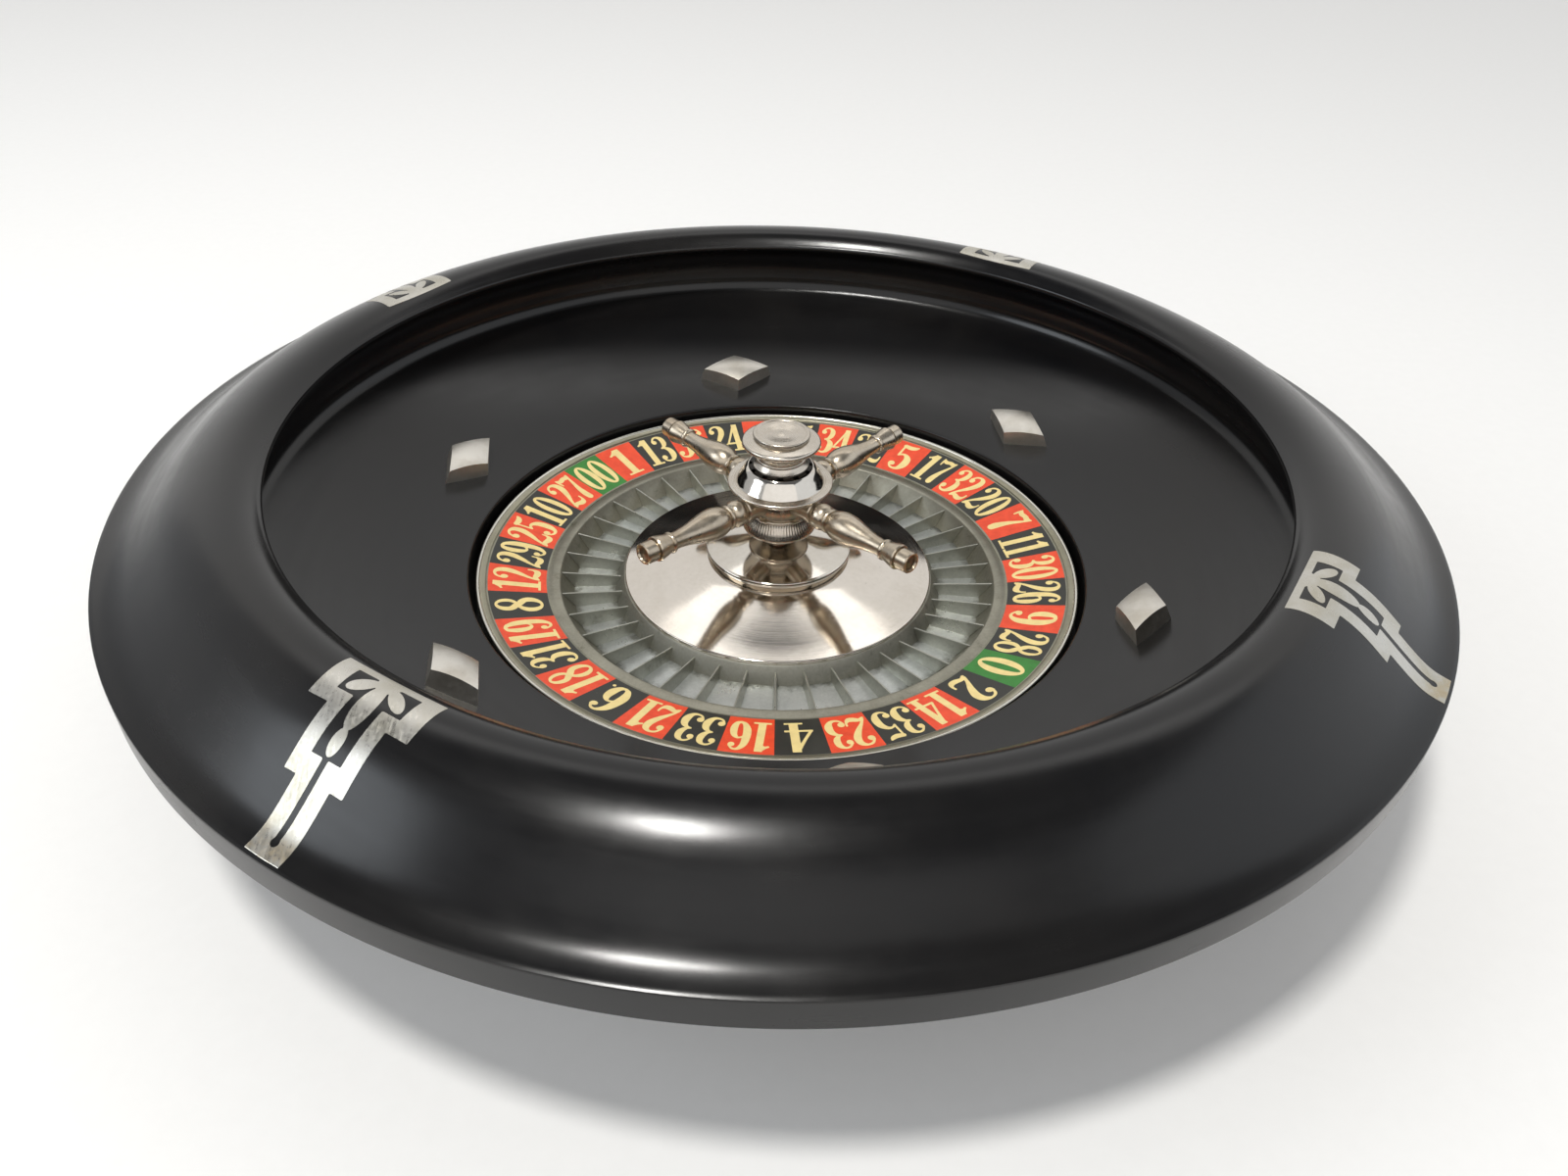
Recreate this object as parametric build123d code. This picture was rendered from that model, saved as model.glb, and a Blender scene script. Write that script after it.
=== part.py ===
from build123d import *
import math
import os

os.makedirs("parts", exist_ok=True)

# ---------------------------------------------------------------------------
# Tabletop roulette wheel, 12 inch bowl. Millimetres, +Z up.
# Origin: centre of the felt foot on the table.
# Heights called "rel" are measured from the outer edge of the wheel head;
# ZR lifts them to the table frame.
# ---------------------------------------------------------------------------
ZR = 24.0                 # height of the wheel head's outer edge above the table

# bowl
R_BOWL = 152.4            # outer radius of the rolled rim (12 in across)
Z_CREASE = 26.9           # rel height of the crease at the rim's outer edge
Z_RIM_BOTTOM = 19.6       # rel height of the lower edge of the rim's side wall
R_SKIRT = 77.6            # inner radius of the ball track (well for the wheel head)
R_JOINT = 131.0           # outer radius of the flange between track and rim
Z_JOINT = 24.5            # rel height of the joint between track and rim
R_WALL = 124.9            # radius of the wall above the ball track
TRACK_R0, TRACK_Z0 = 91.3, 5.3       # a point on the track, and its slope there
TRACK_SLOPE, TRACK_CURVE = 0.309, 0.0052

# base
Z_FLOOR = -13.5           # rel height of the top of the base disc
T_FLOOR = 4.0
R_DISC = 84.0
R_FOOT = 98.2
T_FELT = 0.8

# inlays and deflectors
N_INLAY, A_INLAY = 4, -31.9
T_INLAY = 0.9
N_DEFL, A_DEFL = 6, 40.3
DEFL_RAD, DEFL_TAN = 6.45, 11.05     # half diagonals at the foot
DEFL_TOP_RAD, DEFL_TOP_TAN = 5.62, 10.0   # half diagonals at the upper corners
DEFL_CORNER, DEFL_HIGH = 3.85, 4.95  # height of the corners and of the crown
DEFL_DOME = 12.0
TRIM_DEFL = (0.0, -0.9, 0.0, 0.6, 0.0, 0.0)   # each one's shift round the track, degrees

# wheel head
N_POCKET = 38
A_POCKET = 5.02           # azimuth of the first fret
R_HEAD = 76.2             # outer radius of the wheel head
R_PRINT_OUT, Z_PRINT_OUT = 73.7, -0.9
R_PRINT_IN, Z_PRINT_IN = 58.6, -3.95
T_PRINT = 0.5
R_BAND_IN = 55.6
Z_POCKET = -8.8           # rel height of the pocket floors
R_POCKET_OUT, R_POCKET_IN = 52.4, 42.0
T_PAN = 1.3
T_FRET = 0.7
R_CONE, Z_CONE = 39.35, -3.75

# spindle and hub
R_SPINDLE = 1.80
R_BUSH = 1.84             # running clearance 0.04 mm on the spindle
R_BORE = 2.5
R_SLEEVE = 3.6
R_BALL = 1.6

# turret
R_DRUM = 7.2
Z_DRUM_LO, Z_DRUM_HI = 8.8, 21.2
Z_NUT = 26.6              # rel height of the top of the lock nut and sleeve
A_HANDLE = 44.6
R_TIP = 43.3
Z_HANDLE_ROOT, Z_HANDLE_TIP = 17.9, 19.3


def track_z(r):
    d = r - TRACK_R0
    return TRACK_Z0 + TRACK_SLOPE * d + TRACK_CURVE * d * d


def face_of(start, *steps):
    """Closed face from lines ("l", point), splines ("s", points) and arcs
    ("a", mid, end), in the radius / rel-height plane."""
    edges, cur = [], start
    for st in steps:
        if st[0] == "l":
            if math.dist(cur, st[1]) > 1e-6:
                edges.append(Line(cur, st[1]))
            cur = st[1]
        elif st[0] == "s":
            edges.append(Spline([cur] + list(st[1])))
            cur = st[1][-1]
        elif st[0] == "a":
            edges.append(ThreePointArc(cur, st[1], st[2]))
            cur = st[2]
    if math.dist(cur, start) > 1e-6:
        edges.append(Line(cur, start))
    return make_face(edges)


def turned(start, *steps):
    """Body of revolution about Z from a profile given in rel heights."""
    f = Plane.XZ * (Pos(0, ZR, 0) * face_of(start, *steps))
    return revolve(f, Axis.Z, 360)


def poly_turned(*pts):
    return turned(pts[0], *[("l", p) for p in pts[1:]])


def ring(r0, r1, z0, z1):
    return Pos(0, 0, ZR + (z0 + z1) / 2) * (
        Cylinder(r1, z1 - z0) - Cylinder(r0, z1 - z0 + 1))


def rod(r, z0, z1):
    return Pos(0, 0, ZR + (z0 + z1) / 2) * Cylinder(r, z1 - z0)


def around(n, a0, r, z=0.0):
    return [Rot(0, 0, a0 + 360.0 * k / n) * Pos(r, 0, ZR + z) for k in range(n)]


def screw(r_shank, r_head, z_under, z_tip, h_head, kind="pan"):
    """A screw standing on +Z: the head below z_under, the tip at z_tip."""
    sh = Pos(0, 0, (z_under + z_tip) / 2) * Cylinder(r_shank, z_tip - z_under)
    if kind == "pan":
        hd = Pos(0, 0, z_under - h_head / 2) * Cylinder(r_head, h_head)
        hd = fillet(hd.edges().sort_by(Axis.Z)[0], 0.45 * h_head)
    else:
        hd = Pos(0, 0, z_under - h_head / 2) * Cone(r_head, r_shank, h_head)
    slot = Pos(0, 0, z_under - h_head) * Box(2.2 * r_head, 0.7, 0.9)
    return sh + (hd - slot)


def one(shape):
    s = shape.solids()
    return s[0] if len(s) == 1 else Compound(children=list(s))


NODES = {}


def put(name, shape):
    NODES[name] = shape


# ---------------------------------------------------------------------------
# Bowl: rolled rim
# ---------------------------------------------------------------------------
RIM_TOP = [(117.35, 38.35), (119.0, 40.0), (121.2, 41.15), (123.6, 41.5),
           (126.6, 41.15), (130.0, 40.05), (134.0, 38.0), (139.0, 34.4),
           (144.0, 30.6), (148.2, 28.05), (R_BOWL, Z_CREASE)]

rim_full = turned(
    (R_WALL, Z_JOINT),
    ("s", [(R_WALL + 0.35, 27.6), (123.9, 31.6), (120.9, 34.9), (117.9, 36.45)]),
    ("a", (116.75, 37.2), RIM_TOP[0]),
    ("s", RIM_TOP[1:]),
    ("l", (R_BOWL, Z_CREASE - 0.5)),
    ("l", (R_BOWL - 0.2, Z_RIM_BOTTOM + 0.5)),
    ("l", (R_BOWL - 0.7, Z_RIM_BOTTOM)),
    ("l", (147.9, Z_RIM_BOTTOM)),
    ("l", (147.6, 23.4)),
    ("s", [(144.0, 25.9), (139.0, 29.8), (134.6, 33.0)]),
    ("l", (R_JOINT + 0.6, 33.4)),
    ("l", (R_JOINT, 32.6)),
    ("l", (R_JOINT, Z_JOINT)),
)

# body under the inlays: the rim's upper face lowered by the inlay thickness
under_skin = turned(
    (112.0, 0.0), ("l", (160.0, 0.0)), ("l", (160.0, Z_CREASE - T_INLAY - 4.0)),
    ("l", (R_BOWL + 0.6, Z_CREASE - T_INLAY)),
    ("s", [(148.2, 28.05 - T_INLAY), (144.0, 30.6 - T_INLAY), (139.0, 34.4 - T_INLAY),
           (134.0, 38.0 - T_INLAY), (130.0, 40.05 - T_INLAY), (126.6, 41.15 - T_INLAY),
           (123.6, 41.5 - T_INLAY), (121.2, 41.15 - T_INLAY), (119.0, 40.0 - T_INLAY)]),
    ("l", (112.0, 36.0)),
)

# stepped panel with a stylised plant: x is tangential, y is the radius
STEP1 = (120.1, 129.4, 11.65)      # from radius, to radius, half width
STEP2 = (129.4, 139.9, 6.85)
STEP3 = (139.9, R_BOWL + 2, 4.0)
panel = make_face(Polyline(
    (-STEP1[2], STEP1[0]), (STEP1[2], STEP1[0]), (STEP1[2], STEP1[1]),
    (STEP2[2], STEP1[1]), (STEP2[2], STEP2[1]), (STEP3[2], STEP2[1]),
    (STEP3[2], STEP3[1]), (-STEP3[2], STEP3[1]), (-STEP3[2], STEP2[1]),
    (-STEP2[2], STEP2[1]), (-STEP2[2], STEP1[1]), (-STEP1[2], STEP1[1]),
    close=True))
window = (Pos(0, 124.2) * RectangleRounded(14.9, 5.2, 0.5)
          + Pos(0, 131.4) * RectangleRounded(6.9, 10.4, 0.4)
          + Pos(0, 142.4) * Rectangle(1.3, 13.0)
          + Pos(0, 148.7) * Circle(0.85))
plant = (Pos(0, 127.2) * Ellipse(1.95, 4.75)
         + Pos(0, 133.9) * Ellipse(1.3, 2.3)
         + Pos(3.95, 124.1) * (Rot(0, 0, 34) * Ellipse(2.95, 1.3))
         + Pos(-3.95, 124.1) * (Rot(0, 0, -34) * Ellipse(2.95, 1.3))
         + make_face(Polyline((-3.0, 121.2), (3.0, 121.2), (1.5, 123.6), (-1.5, 123.6),
                              close=True)))
motif = panel - window + plant
prism = extrude(Pos(0, 0, ZR + 20) * motif, 30)
tool = (Rot(0, 0, A_INLAY + 90 - 90) * prism) - under_skin
inlay = tool & rim_full

rim = rim_full
for k in range(N_INLAY):
    put("palm_inlay_%d" % (k + 1), one(Rot(0, 0, 360 / N_INLAY * (k - 1)) * inlay))
    rim = rim - Rot(0, 0, 360 / N_INLAY * (k - 1)) * tool

# ---------------------------------------------------------------------------
# Bowl: ball track ring
# ---------------------------------------------------------------------------
a_end = math.atan(TRACK_SLOPE + 2 * TRACK_CURVE * (122.8 - TRACK_R0))
r_f = (R_WALL - 122.8) / (1 - math.sin(a_end))
fc = (122.8 - r_f * math.sin(a_end), track_z(122.8) + r_f * math.cos(a_end))
mid_a = (-90 + math.degrees(a_end)) / 2
track = turned(
    (R_SKIRT, Z_FLOOR),
    ("l", (R_SKIRT, track_z(78.2) - 0.65)),
    ("a", (R_SKIRT + 0.16, track_z(78.2) - 0.18), (78.2, track_z(78.2))),
    ("s", [(r, track_z(r)) for r in (84.0, TRACK_R0, 99.0, 107.0, 115.0, 122.8)]),
    ("a", (fc[0] + r_f * math.cos(math.radians(mid_a)), fc[1] + r_f * math.sin(math.radians(mid_a))),
     (fc[0] + r_f, fc[1])),
    ("l", (R_WALL, Z_JOINT)),
    ("l", (R_JOINT, Z_JOINT)),
    ("l", (R_JOINT, 18.8)),
    ("s", [(127.0, 16.9), (115.0, 10.0), (105.0, 5.2), (93.0, 0.6), (85.0, -2.2)]),
    ("a", (82.6, -3.6), (81.6, -6.0)),
    ("l", (81.6, Z_FLOOR)),
)

# ---------------------------------------------------------------------------
# Base disc, pedestal and felt
# ---------------------------------------------------------------------------
Z_UNDER = Z_FLOOR - T_FLOOR
base_disc = poly_turned((3.0, Z_FLOOR), (R_DISC, Z_FLOOR), (R_DISC, Z_UNDER), (12.0, Z_UNDER),
                        (10.5, Z_UNDER - 2.0), (3.0, Z_UNDER - 2.0))
pedestal = turned(
    (60.0, Z_UNDER), ("l", (R_DISC + 0.3, Z_UNDER)), ("l", (R_DISC + 0.3, -6.2)),
    ("a", (85.6, -5.0), (87.0, -6.0)),
    ("s", [(87.9, -10.5), (90.2, -15.6), (94.6, -19.2), (97.2, -20.4)]),
    ("a", (98.0, -21.1), (R_FOOT, -22.0)),
    ("l", (R_FOOT, -ZR + T_FELT)), ("l", (89.0, -ZR + T_FELT)),
    ("l", (88.0, -20.6)), ("l", (60.0, -20.6)),
)
felt = ring(89.4, 97.8, -ZR, -ZR + T_FELT)

# ---------------------------------------------------------------------------
# Fasteners of the bowl
# ---------------------------------------------------------------------------
N_RIM_SCREW, R_RIM_SCREW = 8, 128.0
rim_screws = []
for loc in around(N_RIM_SCREW, 22.5, R_RIM_SCREW):
    s = loc * screw(1.5, 2.9, 19.6, 30.5, 1.9)
    rim_screws.append(s)
    track = track - loc * (Pos(0, 0, (19.6 + 12) / 2) * Cylinder(3.3, 19.6 - 12))
    track = track - loc * (Pos(0, 0, 22) * Cylinder(1.7, 6))
    rim = rim - loc * (Pos(0, 0, (24 + 30.5) / 2) * Cylinder(1.5, 6.5))
put("rim_screws", Compound(children=[one(s) for s in rim_screws]))

track_screws = []
for loc in around(6, 15, 79.6):
    s = loc * screw(1.25, 2.6, Z_UNDER + 1.6, -7.5, 1.4, "csk")
    track_screws.append(s)
    base_disc = base_disc - loc * (Pos(0, 0, Z_UNDER + 0.8) * Cone(3.0, 1.25, 1.6))
    base_disc = base_disc - loc * (Pos(0, 0, Z_FLOOR - 1.5) * Cylinder(1.4, 4))
    track = track - loc * (Pos(0, 0, (Z_FLOOR - 1 - 7.5) / 2) * Cylinder(1.25, Z_FLOOR * -1 - 7.5 + 1))
put("track_screws", Compound(children=[one(s) for s in track_screws]))

pedestal_screws = []
for loc in around(6, 45, 70.0):
    s = loc * screw(1.5, 3.1, -20.6, -15.0, 1.8)
    pedestal_screws.append(s)
    pedestal = pedestal - loc * (Pos(0, 0, -19) * Cylinder(1.7, 5))
    base_disc = base_disc - loc * (Pos(0, 0, (-18 - 15) / 2) * Cylinder(1.5, 3))
put("pedestal_screws", Compound(children=[one(s) for s in pedestal_screws]))

# ---------------------------------------------------------------------------
# Ball deflectors: arched lozenges standing square to the track
# ---------------------------------------------------------------------------
TILT = math.degrees(math.atan(TRACK_SLOPE))


def lozenge(rad, tan, z):
    return Pos(0, 0, z) * make_face(Polyline((rad, 0), (0, tan), (-rad, 0), (0, -tan), close=True))


def half_at(n):
    t = n / DEFL_CORNER
    return (DEFL_RAD + (DEFL_TOP_RAD - DEFL_RAD) * t, DEFL_TAN + (DEFL_TOP_TAN - DEFL_TAN) * t)


body = loft([lozenge(*half_at(-0.8), -0.8), lozenge(*half_at(6.0), 6.0)], ruled=True)
# pillow top: an ellipsoid that meets all four corners at the same height
k_dome = math.sqrt(1 - ((DEFL_CORNER - DEFL_HIGH + DEFL_DOME) / DEFL_DOME) ** 2)
deflector = body & (Pos(0, 0, DEFL_HIGH - DEFL_DOME)
                    * scale(Sphere(1), by=(DEFL_TOP_RAD / k_dome, DEFL_TOP_TAN / k_dome, DEFL_DOME)))
hole = Pos(0, 0, 0.6) * Cylinder(1.25, 4.4)
defl_screw = screw(1.25, 2.5, -4.7, 2.8, 1.7)
defl_screws = []
defl_locs = [Rot(0, 0, A_DEFL + 60 * k + TRIM_DEFL[k]) * Pos(TRACK_R0, 0, ZR + TRACK_Z0) * Rot(0, -TILT, 0)
             for k in range(N_DEFL)]
track_smooth = track
for k, loc in enumerate(defl_locs):
    d = (loc * deflector) - track_smooth
    d = max(d.solids(), key=lambda s: s.volume)
    d = d - loc * hole
    put("deflector_%d" % (k + 1), one(d))
    defl_screws.append(loc * defl_screw)
for loc in defl_locs:
    track = track - loc * (Rot(0, 0, 37) * Pos(0, 0, -1.5) * Cylinder(1.35, 7.0))
    track = track - loc * (Rot(0, 0, 37) * Pos(0, 0, -4.7 - 3) * Cylinder(2.8, 6.0))
put("deflector_screws", Compound(children=[one(s) for s in defl_screws]))

put("rim", one(rim))
put("track_ring", one(track))
put("base_disc", one(base_disc))
put("pedestal_ring", one(pedestal))
put("felt_pad", one(felt))

# ---------------------------------------------------------------------------
# Spindle and its fasteners
# ---------------------------------------------------------------------------
Z_SP_TOP = 16.0
Z_BALL = 17.1
spindle = rod(R_SPINDLE, -12.0, Z_SP_TOP) + ring(0.0001, 6.5, Z_FLOOR, -12.0) + rod(3.0, -22.9, Z_FLOOR)
spindle = spindle - Pos(0, 0, ZR + Z_BALL) * Sphere(R_BALL + 0.02)
put("spindle", one(spindle))
put("bearing_ball", one(Pos(0, 0, ZR + Z_BALL) * Sphere(R_BALL)))
put("spindle_washer", one(ring(3.0, 7.0, Z_UNDER - 2.8, Z_UNDER - 2.0)))
nut = extrude(Pos(0, 0, ZR + Z_UNDER - 5.0) * RegularPolygon(5.0, 6, major_radius=False), 2.2)
put("spindle_nut", one(nut - rod(3.0, -24, Z_UNDER)))

# ---------------------------------------------------------------------------
# Wheel head
# ---------------------------------------------------------------------------
Z_PAN = Z_POCKET - T_PAN
pan = poly_turned((R_SLEEVE, Z_PAN), (57.0, Z_PAN), (57.0, Z_POCKET), (R_SLEEVE, Z_POCKET))
put("hub_spacer", one(poly_turned((R_SLEEVE, Z_POCKET), (12.0, Z_POCKET), (12.0, -8.0),
                                  (8.6, -6.6), (8.0, -5.0), (8.0, 0.8), (R_SLEEVE, 0.8))))
inner_ring = turned((37.0, Z_POCKET), ("l", (R_POCKET_IN, Z_POCKET)), ("l", (39.95, -5.0)),
                    ("l", (39.6, -4.65)), ("l", (37.0, -4.65)))
carrier = turned(
    (R_POCKET_OUT, Z_POCKET),
    ("l", (R_BAND_IN - 0.1, Z_PRINT_IN - 0.45)),
    ("a", (R_BAND_IN + 0.12, Z_PRINT_IN - 0.12), (R_BAND_IN + 0.45, Z_PRINT_IN)),
    ("l", (R_PRINT_IN, Z_PRINT_IN)),
    ("l", (R_PRINT_IN, Z_PRINT_IN - T_PRINT)),
    ("l", (R_PRINT_OUT, Z_PRINT_OUT - T_PRINT)),
    ("l", (75.0, Z_PRINT_OUT - T_PRINT)),
    ("l", (75.0, -3.8)),
    ("l", (73.0, -4.3)),
    ("l", (60.5, -7.0)),
    ("l", (57.0, Z_POCKET)),
)
number_ring = poly_turned((R_PRINT_IN, Z_PRINT_IN - T_PRINT), (R_PRINT_OUT, Z_PRINT_OUT - T_PRINT),
                          (R_PRINT_OUT, Z_PRINT_OUT), (R_PRINT_IN, Z_PRINT_IN))
bezel = turned(
    (R_PRINT_OUT, Z_PRINT_OUT - T_PRINT),
    ("l", (R_PRINT_OUT, -0.62)),
    ("l", (R_PRINT_OUT + 0.2, -0.45)),
    ("l", (74.95, -0.28)),
    ("l", (75.1, -0.5)),
    ("a", (75.68, 0.0), (R_HEAD, -0.55)),
    ("l", (R_HEAD, -3.7)),
    ("l", (75.9, -4.0)),
    ("l", (75.0, -4.0)),
    ("l", (75.0, Z_PRINT_OUT - T_PRINT)),
)
fret_face = make_face(Polyline((40.47, -5.95), (55.38, -4.47), (R_POCKET_OUT, Z_POCKET),
                               (R_POCKET_IN, Z_POCKET), close=True))
fret = extrude(Plane.XZ * (Pos(0, ZR, 0) * fret_face), T_FRET / 2, both=True)
frets = [Rot(0, 0, A_POCKET + 360.0 / N_POCKET * k) * fret for k in range(N_POCKET)]

cone = turned(
    (R_CONE, -4.65), ("l", (R_CONE, -4.15)), ("a", (R_CONE - 0.1, -3.87), (R_CONE - 0.35, Z_CONE)),
    ("l", (17.6, 1.6)), ("l", (R_SLEEVE, 1.6)), ("l", (R_SLEEVE, 0.8)), ("l", (17.3, 0.8)),
    ("l", (38.2, -4.65)),
)

rotor_screws = []
for loc in around(6, 0, 55.0):
    s = loc * screw(0.9, 1.8, Z_PAN, -6.3, 1.1)
    rotor_screws.append(s)
    pan = pan - loc * (Pos(0, 0, -9.5) * Cylinder(0.9, 3))
    carrier = carrier - loc * (Pos(0, 0, -7.55) * Cylinder(0.9, 2.5))
for loc in around(6, 30, 38.3):
    s = loc * screw(0.7, 1.5, Z_PAN, -6.6, 1.0)
    rotor_screws.append(s)
    pan = pan - loc * (Pos(0, 0, -9.5) * Cylinder(0.7, 3))
    inner_ring = inner_ring - loc * (Pos(0, 0, -7.7) * Cylinder(0.7, 2.2))
put("rotor_screws", Compound(children=[one(s) for s in rotor_screws]))
put("rotor_disc", one(pan))
put("pocket_inner_ring", one(inner_ring))
put("number_carrier", one(carrier))
put("number_ring", one(number_ring))
put("outer_bezel", one(bezel))
put("pocket_frets", Compound(children=[one(f) for f in frets]))
put("center_cone", one(cone))

# ---------------------------------------------------------------------------
# Hub sleeve, bushes and thrust pad
# ---------------------------------------------------------------------------
sleeve = ring(R_BORE, R_SLEEVE, -11.6, Z_NUT) + ring(R_SLEEVE - 0.5, 9.0, -11.6, Z_PAN)
put("hub_sleeve", one(sleeve))
put("lower_bush", one(ring(R_BUSH, R_BORE, -11.6, -3.0)))
put("upper_bush", one(ring(R_BUSH, R_BORE, 7.0, 15.6)))
put("thrust_pad", one(rod(R_BORE, Z_BALL + R_BALL + 0.02, 20.05)))

# ---------------------------------------------------------------------------
# Turret
# ---------------------------------------------------------------------------
Z_SKIRT = 3.5             # rel height of the skirt's upper edge
Z_FOOT = 6.5              # rel height of the column's foot
turret_base = turned(
    (R_SLEEVE, 1.6), ("l", (17.5, 1.6)), ("l", (17.5, 2.45)), ("l", (18.1, 2.45)),
    ("a", (18.38, 2.58), (18.48, 2.85)), ("l", (18.48, 3.1)), ("a", (18.36, 3.4), (18.05, Z_SKIRT)),
    ("s", [(14.0, 4.42), (9.5, 5.42), (5.7, Z_FOOT)]), ("l", (R_SLEEVE, Z_FOOT)),
)
column = turned(
    (R_SLEEVE, Z_FOOT), ("l", (5.2, Z_FOOT)), ("a", (5.42, 6.75), (5.15, 7.0)), ("l", (4.5, 7.1)),
    ("s", [(4.3, 7.6), (4.35, 8.2), (4.7, Z_DRUM_LO)]),
    ("l", (R_SLEEVE, Z_DRUM_LO)),
)
drum = turned(
    (R_SLEEVE, Z_DRUM_LO), ("l", (8.5, Z_DRUM_LO)), ("a", (9.0, 8.98), (9.15, 9.4)),
    ("s", [(8.6, 10.9), (7.9, 12.2), (7.4, 13.2)]),
    ("a", (7.85, 13.65), (7.45, 14.15)),
    ("l", (R_DRUM, 14.35)), ("l", (R_DRUM, Z_DRUM_HI)), ("l", (R_SLEEVE, Z_DRUM_HI)),
)
cap = turned(
    (R_SLEEVE, Z_DRUM_HI), ("l", (12.5, Z_DRUM_HI)), ("a", (12.88, 21.35), (13.0, 21.7)),
    ("a", (12.9, 22.05), (12.6, 22.2)), ("l", (11.3, 22.4)), ("l", (11.1, 22.25)),
    ("l", (10.9, 22.25)), ("l", (10.75, 22.45)),
    ("s", [(10.1, 23.5), (9.3, 24.75), (8.55, 25.8), (8.1, 26.2)]),
    ("l", (7.9, 26.2)), ("l", (7.82, 25.6)), ("l", (R_SLEEVE, 25.6)),
)
lock_nut = ring(R_SLEEVE, 7.7, 25.6, Z_NUT)
for k in range(12):
    lock_nut = lock_nut - Rot(0, 0, 30 * k) * Pos(7.8, 0, ZR + 26.2) * Box(1.6, 1.4, 2.4)
finial = turned(
    (0.0, 20.05), ("l", (2.45, 20.05)), ("l", (2.45, Z_NUT)), ("l", (6.75, Z_NUT)), ("l", (6.75, 26.85)),
    ("s", [(6.25, 27.4), (5.85, 28.0)]), ("l", (6.05, 28.2)), ("a", (6.2, 28.5), (6.05, 28.85)),
    ("l", (5.8, 29.0)), ("s", [(6.05, 30.3), (7.2, 31.4), (8.75, 31.95)]),
    ("a", (9.62, 32.75), (8.8, 33.5)), ("l", (7.1, 34.05)), ("l", (6.65, 34.15)),
    ("l", (6.65, 34.4)), ("l", (6.95, 34.55)), ("l", (6.95, 34.95)),
    ("a", (6.85, 35.2), (6.6, 35.3)), ("l", (6.1, 35.3)), ("l", (5.95, 35.15)),
    ("l", (1.2, 34.85)), ("l", (0.9, 35.0)), ("l", (0.0, 35.1)),
)
put("turret_base", one(turret_base))
put("turret_column", one(column))
put("turret_cap", one(cap))
put("lock_nut", one(lock_nut))
put("finial", one(finial))

# handles: turned along local X, then tilted and turned into place
h_prof = face_of(
    (6.0, 0.0), ("l", (6.0, 2.95)), ("l", (12.2, 2.95)), ("l", (12.5, 2.7)), ("l", (12.6, 2.3)),
    ("l", (12.9, 2.3)), ("s", [(13.4, 2.95), (14.9, 3.3), (16.3, 2.9), (16.9, 2.3)]),
    ("l", (17.1, 2.3)), ("a", (17.55, 3.1), (18.0, 2.5)),
    ("s", [(18.6, 2.95), (20.2, 3.6), (22.4, 3.85), (25.0, 3.55), (28.5, 2.75), (32.0, 2.15), (34.6, 2.0)]),
    ("a", (35.2, 2.6), (35.8, 2.25)), ("s", [(36.4, 2.4), (38.2, 2.85), (39.5, 3.1)]),
    ("l", (39.85, 2.9)), ("l", (39.9, 2.25)), ("l", (40.3, 2.25)), ("l", (40.35, 2.6)),
    ("l", (43.0, 2.6)), ("l", (R_TIP, 2.35)), ("l", (R_TIP, 2.0)), ("l", (42.8, 1.8)),
    ("l", (42.75, 0.5)), ("l", (42.95, 0.0)),
)
handle = revolve(h_prof, Axis.X, 360)
h_tilt = math.degrees(math.atan((Z_HANDLE_TIP - Z_HANDLE_ROOT) / (R_TIP - 8.0)))
z_h0 = Z_HANDLE_ROOT - math.tan(math.radians(h_tilt)) * 8.0
stud_len = (4.4, 21.0)
stud = Pos(sum(stud_len) / 2, 0, 0) * (Rot(0, 90, 0) * Cylinder(1.3, stud_len[1] - stud_len[0]))
drum_core = rod(R_DRUM, 8, 23)
studs = []
for k in range(4):
    loc = Rot(0, 0, A_HANDLE + 90 * k) * Pos(0, 0, ZR + z_h0) * Rot(0, -h_tilt, 0)
    h = (loc * handle) - drum_core - (loc * stud)
    put("handle_%d" % (k + 1), one(max(h.solids(), key=lambda s: s.volume)))
    s = loc * stud
    studs.append(s)
    drum = drum - s
put("handle_studs", Compound(children=[one(s) for s in studs]))
put("turret_drum", one(drum))

# ---------------------------------------------------------------------------
for name, shape in NODES.items():
    export_step(shape, "parts/%s.step" % name)
print(len(NODES), "nodes")
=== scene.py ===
import math

import bmesh
import bpy
import numpy as np
from mathutils import Matrix, Vector


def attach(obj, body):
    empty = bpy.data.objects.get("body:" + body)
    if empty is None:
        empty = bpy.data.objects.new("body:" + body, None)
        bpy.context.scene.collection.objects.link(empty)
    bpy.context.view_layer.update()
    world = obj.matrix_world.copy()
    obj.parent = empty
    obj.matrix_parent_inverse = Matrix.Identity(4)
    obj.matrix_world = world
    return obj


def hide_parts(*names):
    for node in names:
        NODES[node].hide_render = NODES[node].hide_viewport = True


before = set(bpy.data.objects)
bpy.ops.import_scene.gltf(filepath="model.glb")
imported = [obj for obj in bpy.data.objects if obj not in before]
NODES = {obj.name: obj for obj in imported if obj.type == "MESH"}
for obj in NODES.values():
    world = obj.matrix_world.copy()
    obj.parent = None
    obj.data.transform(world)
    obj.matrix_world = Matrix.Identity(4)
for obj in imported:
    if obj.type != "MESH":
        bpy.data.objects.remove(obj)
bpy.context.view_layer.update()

MM = 0.001
ZR = 24.0            # height of the wheel head's outer edge above the table, mm
rng = np.random.default_rng(38)


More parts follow.
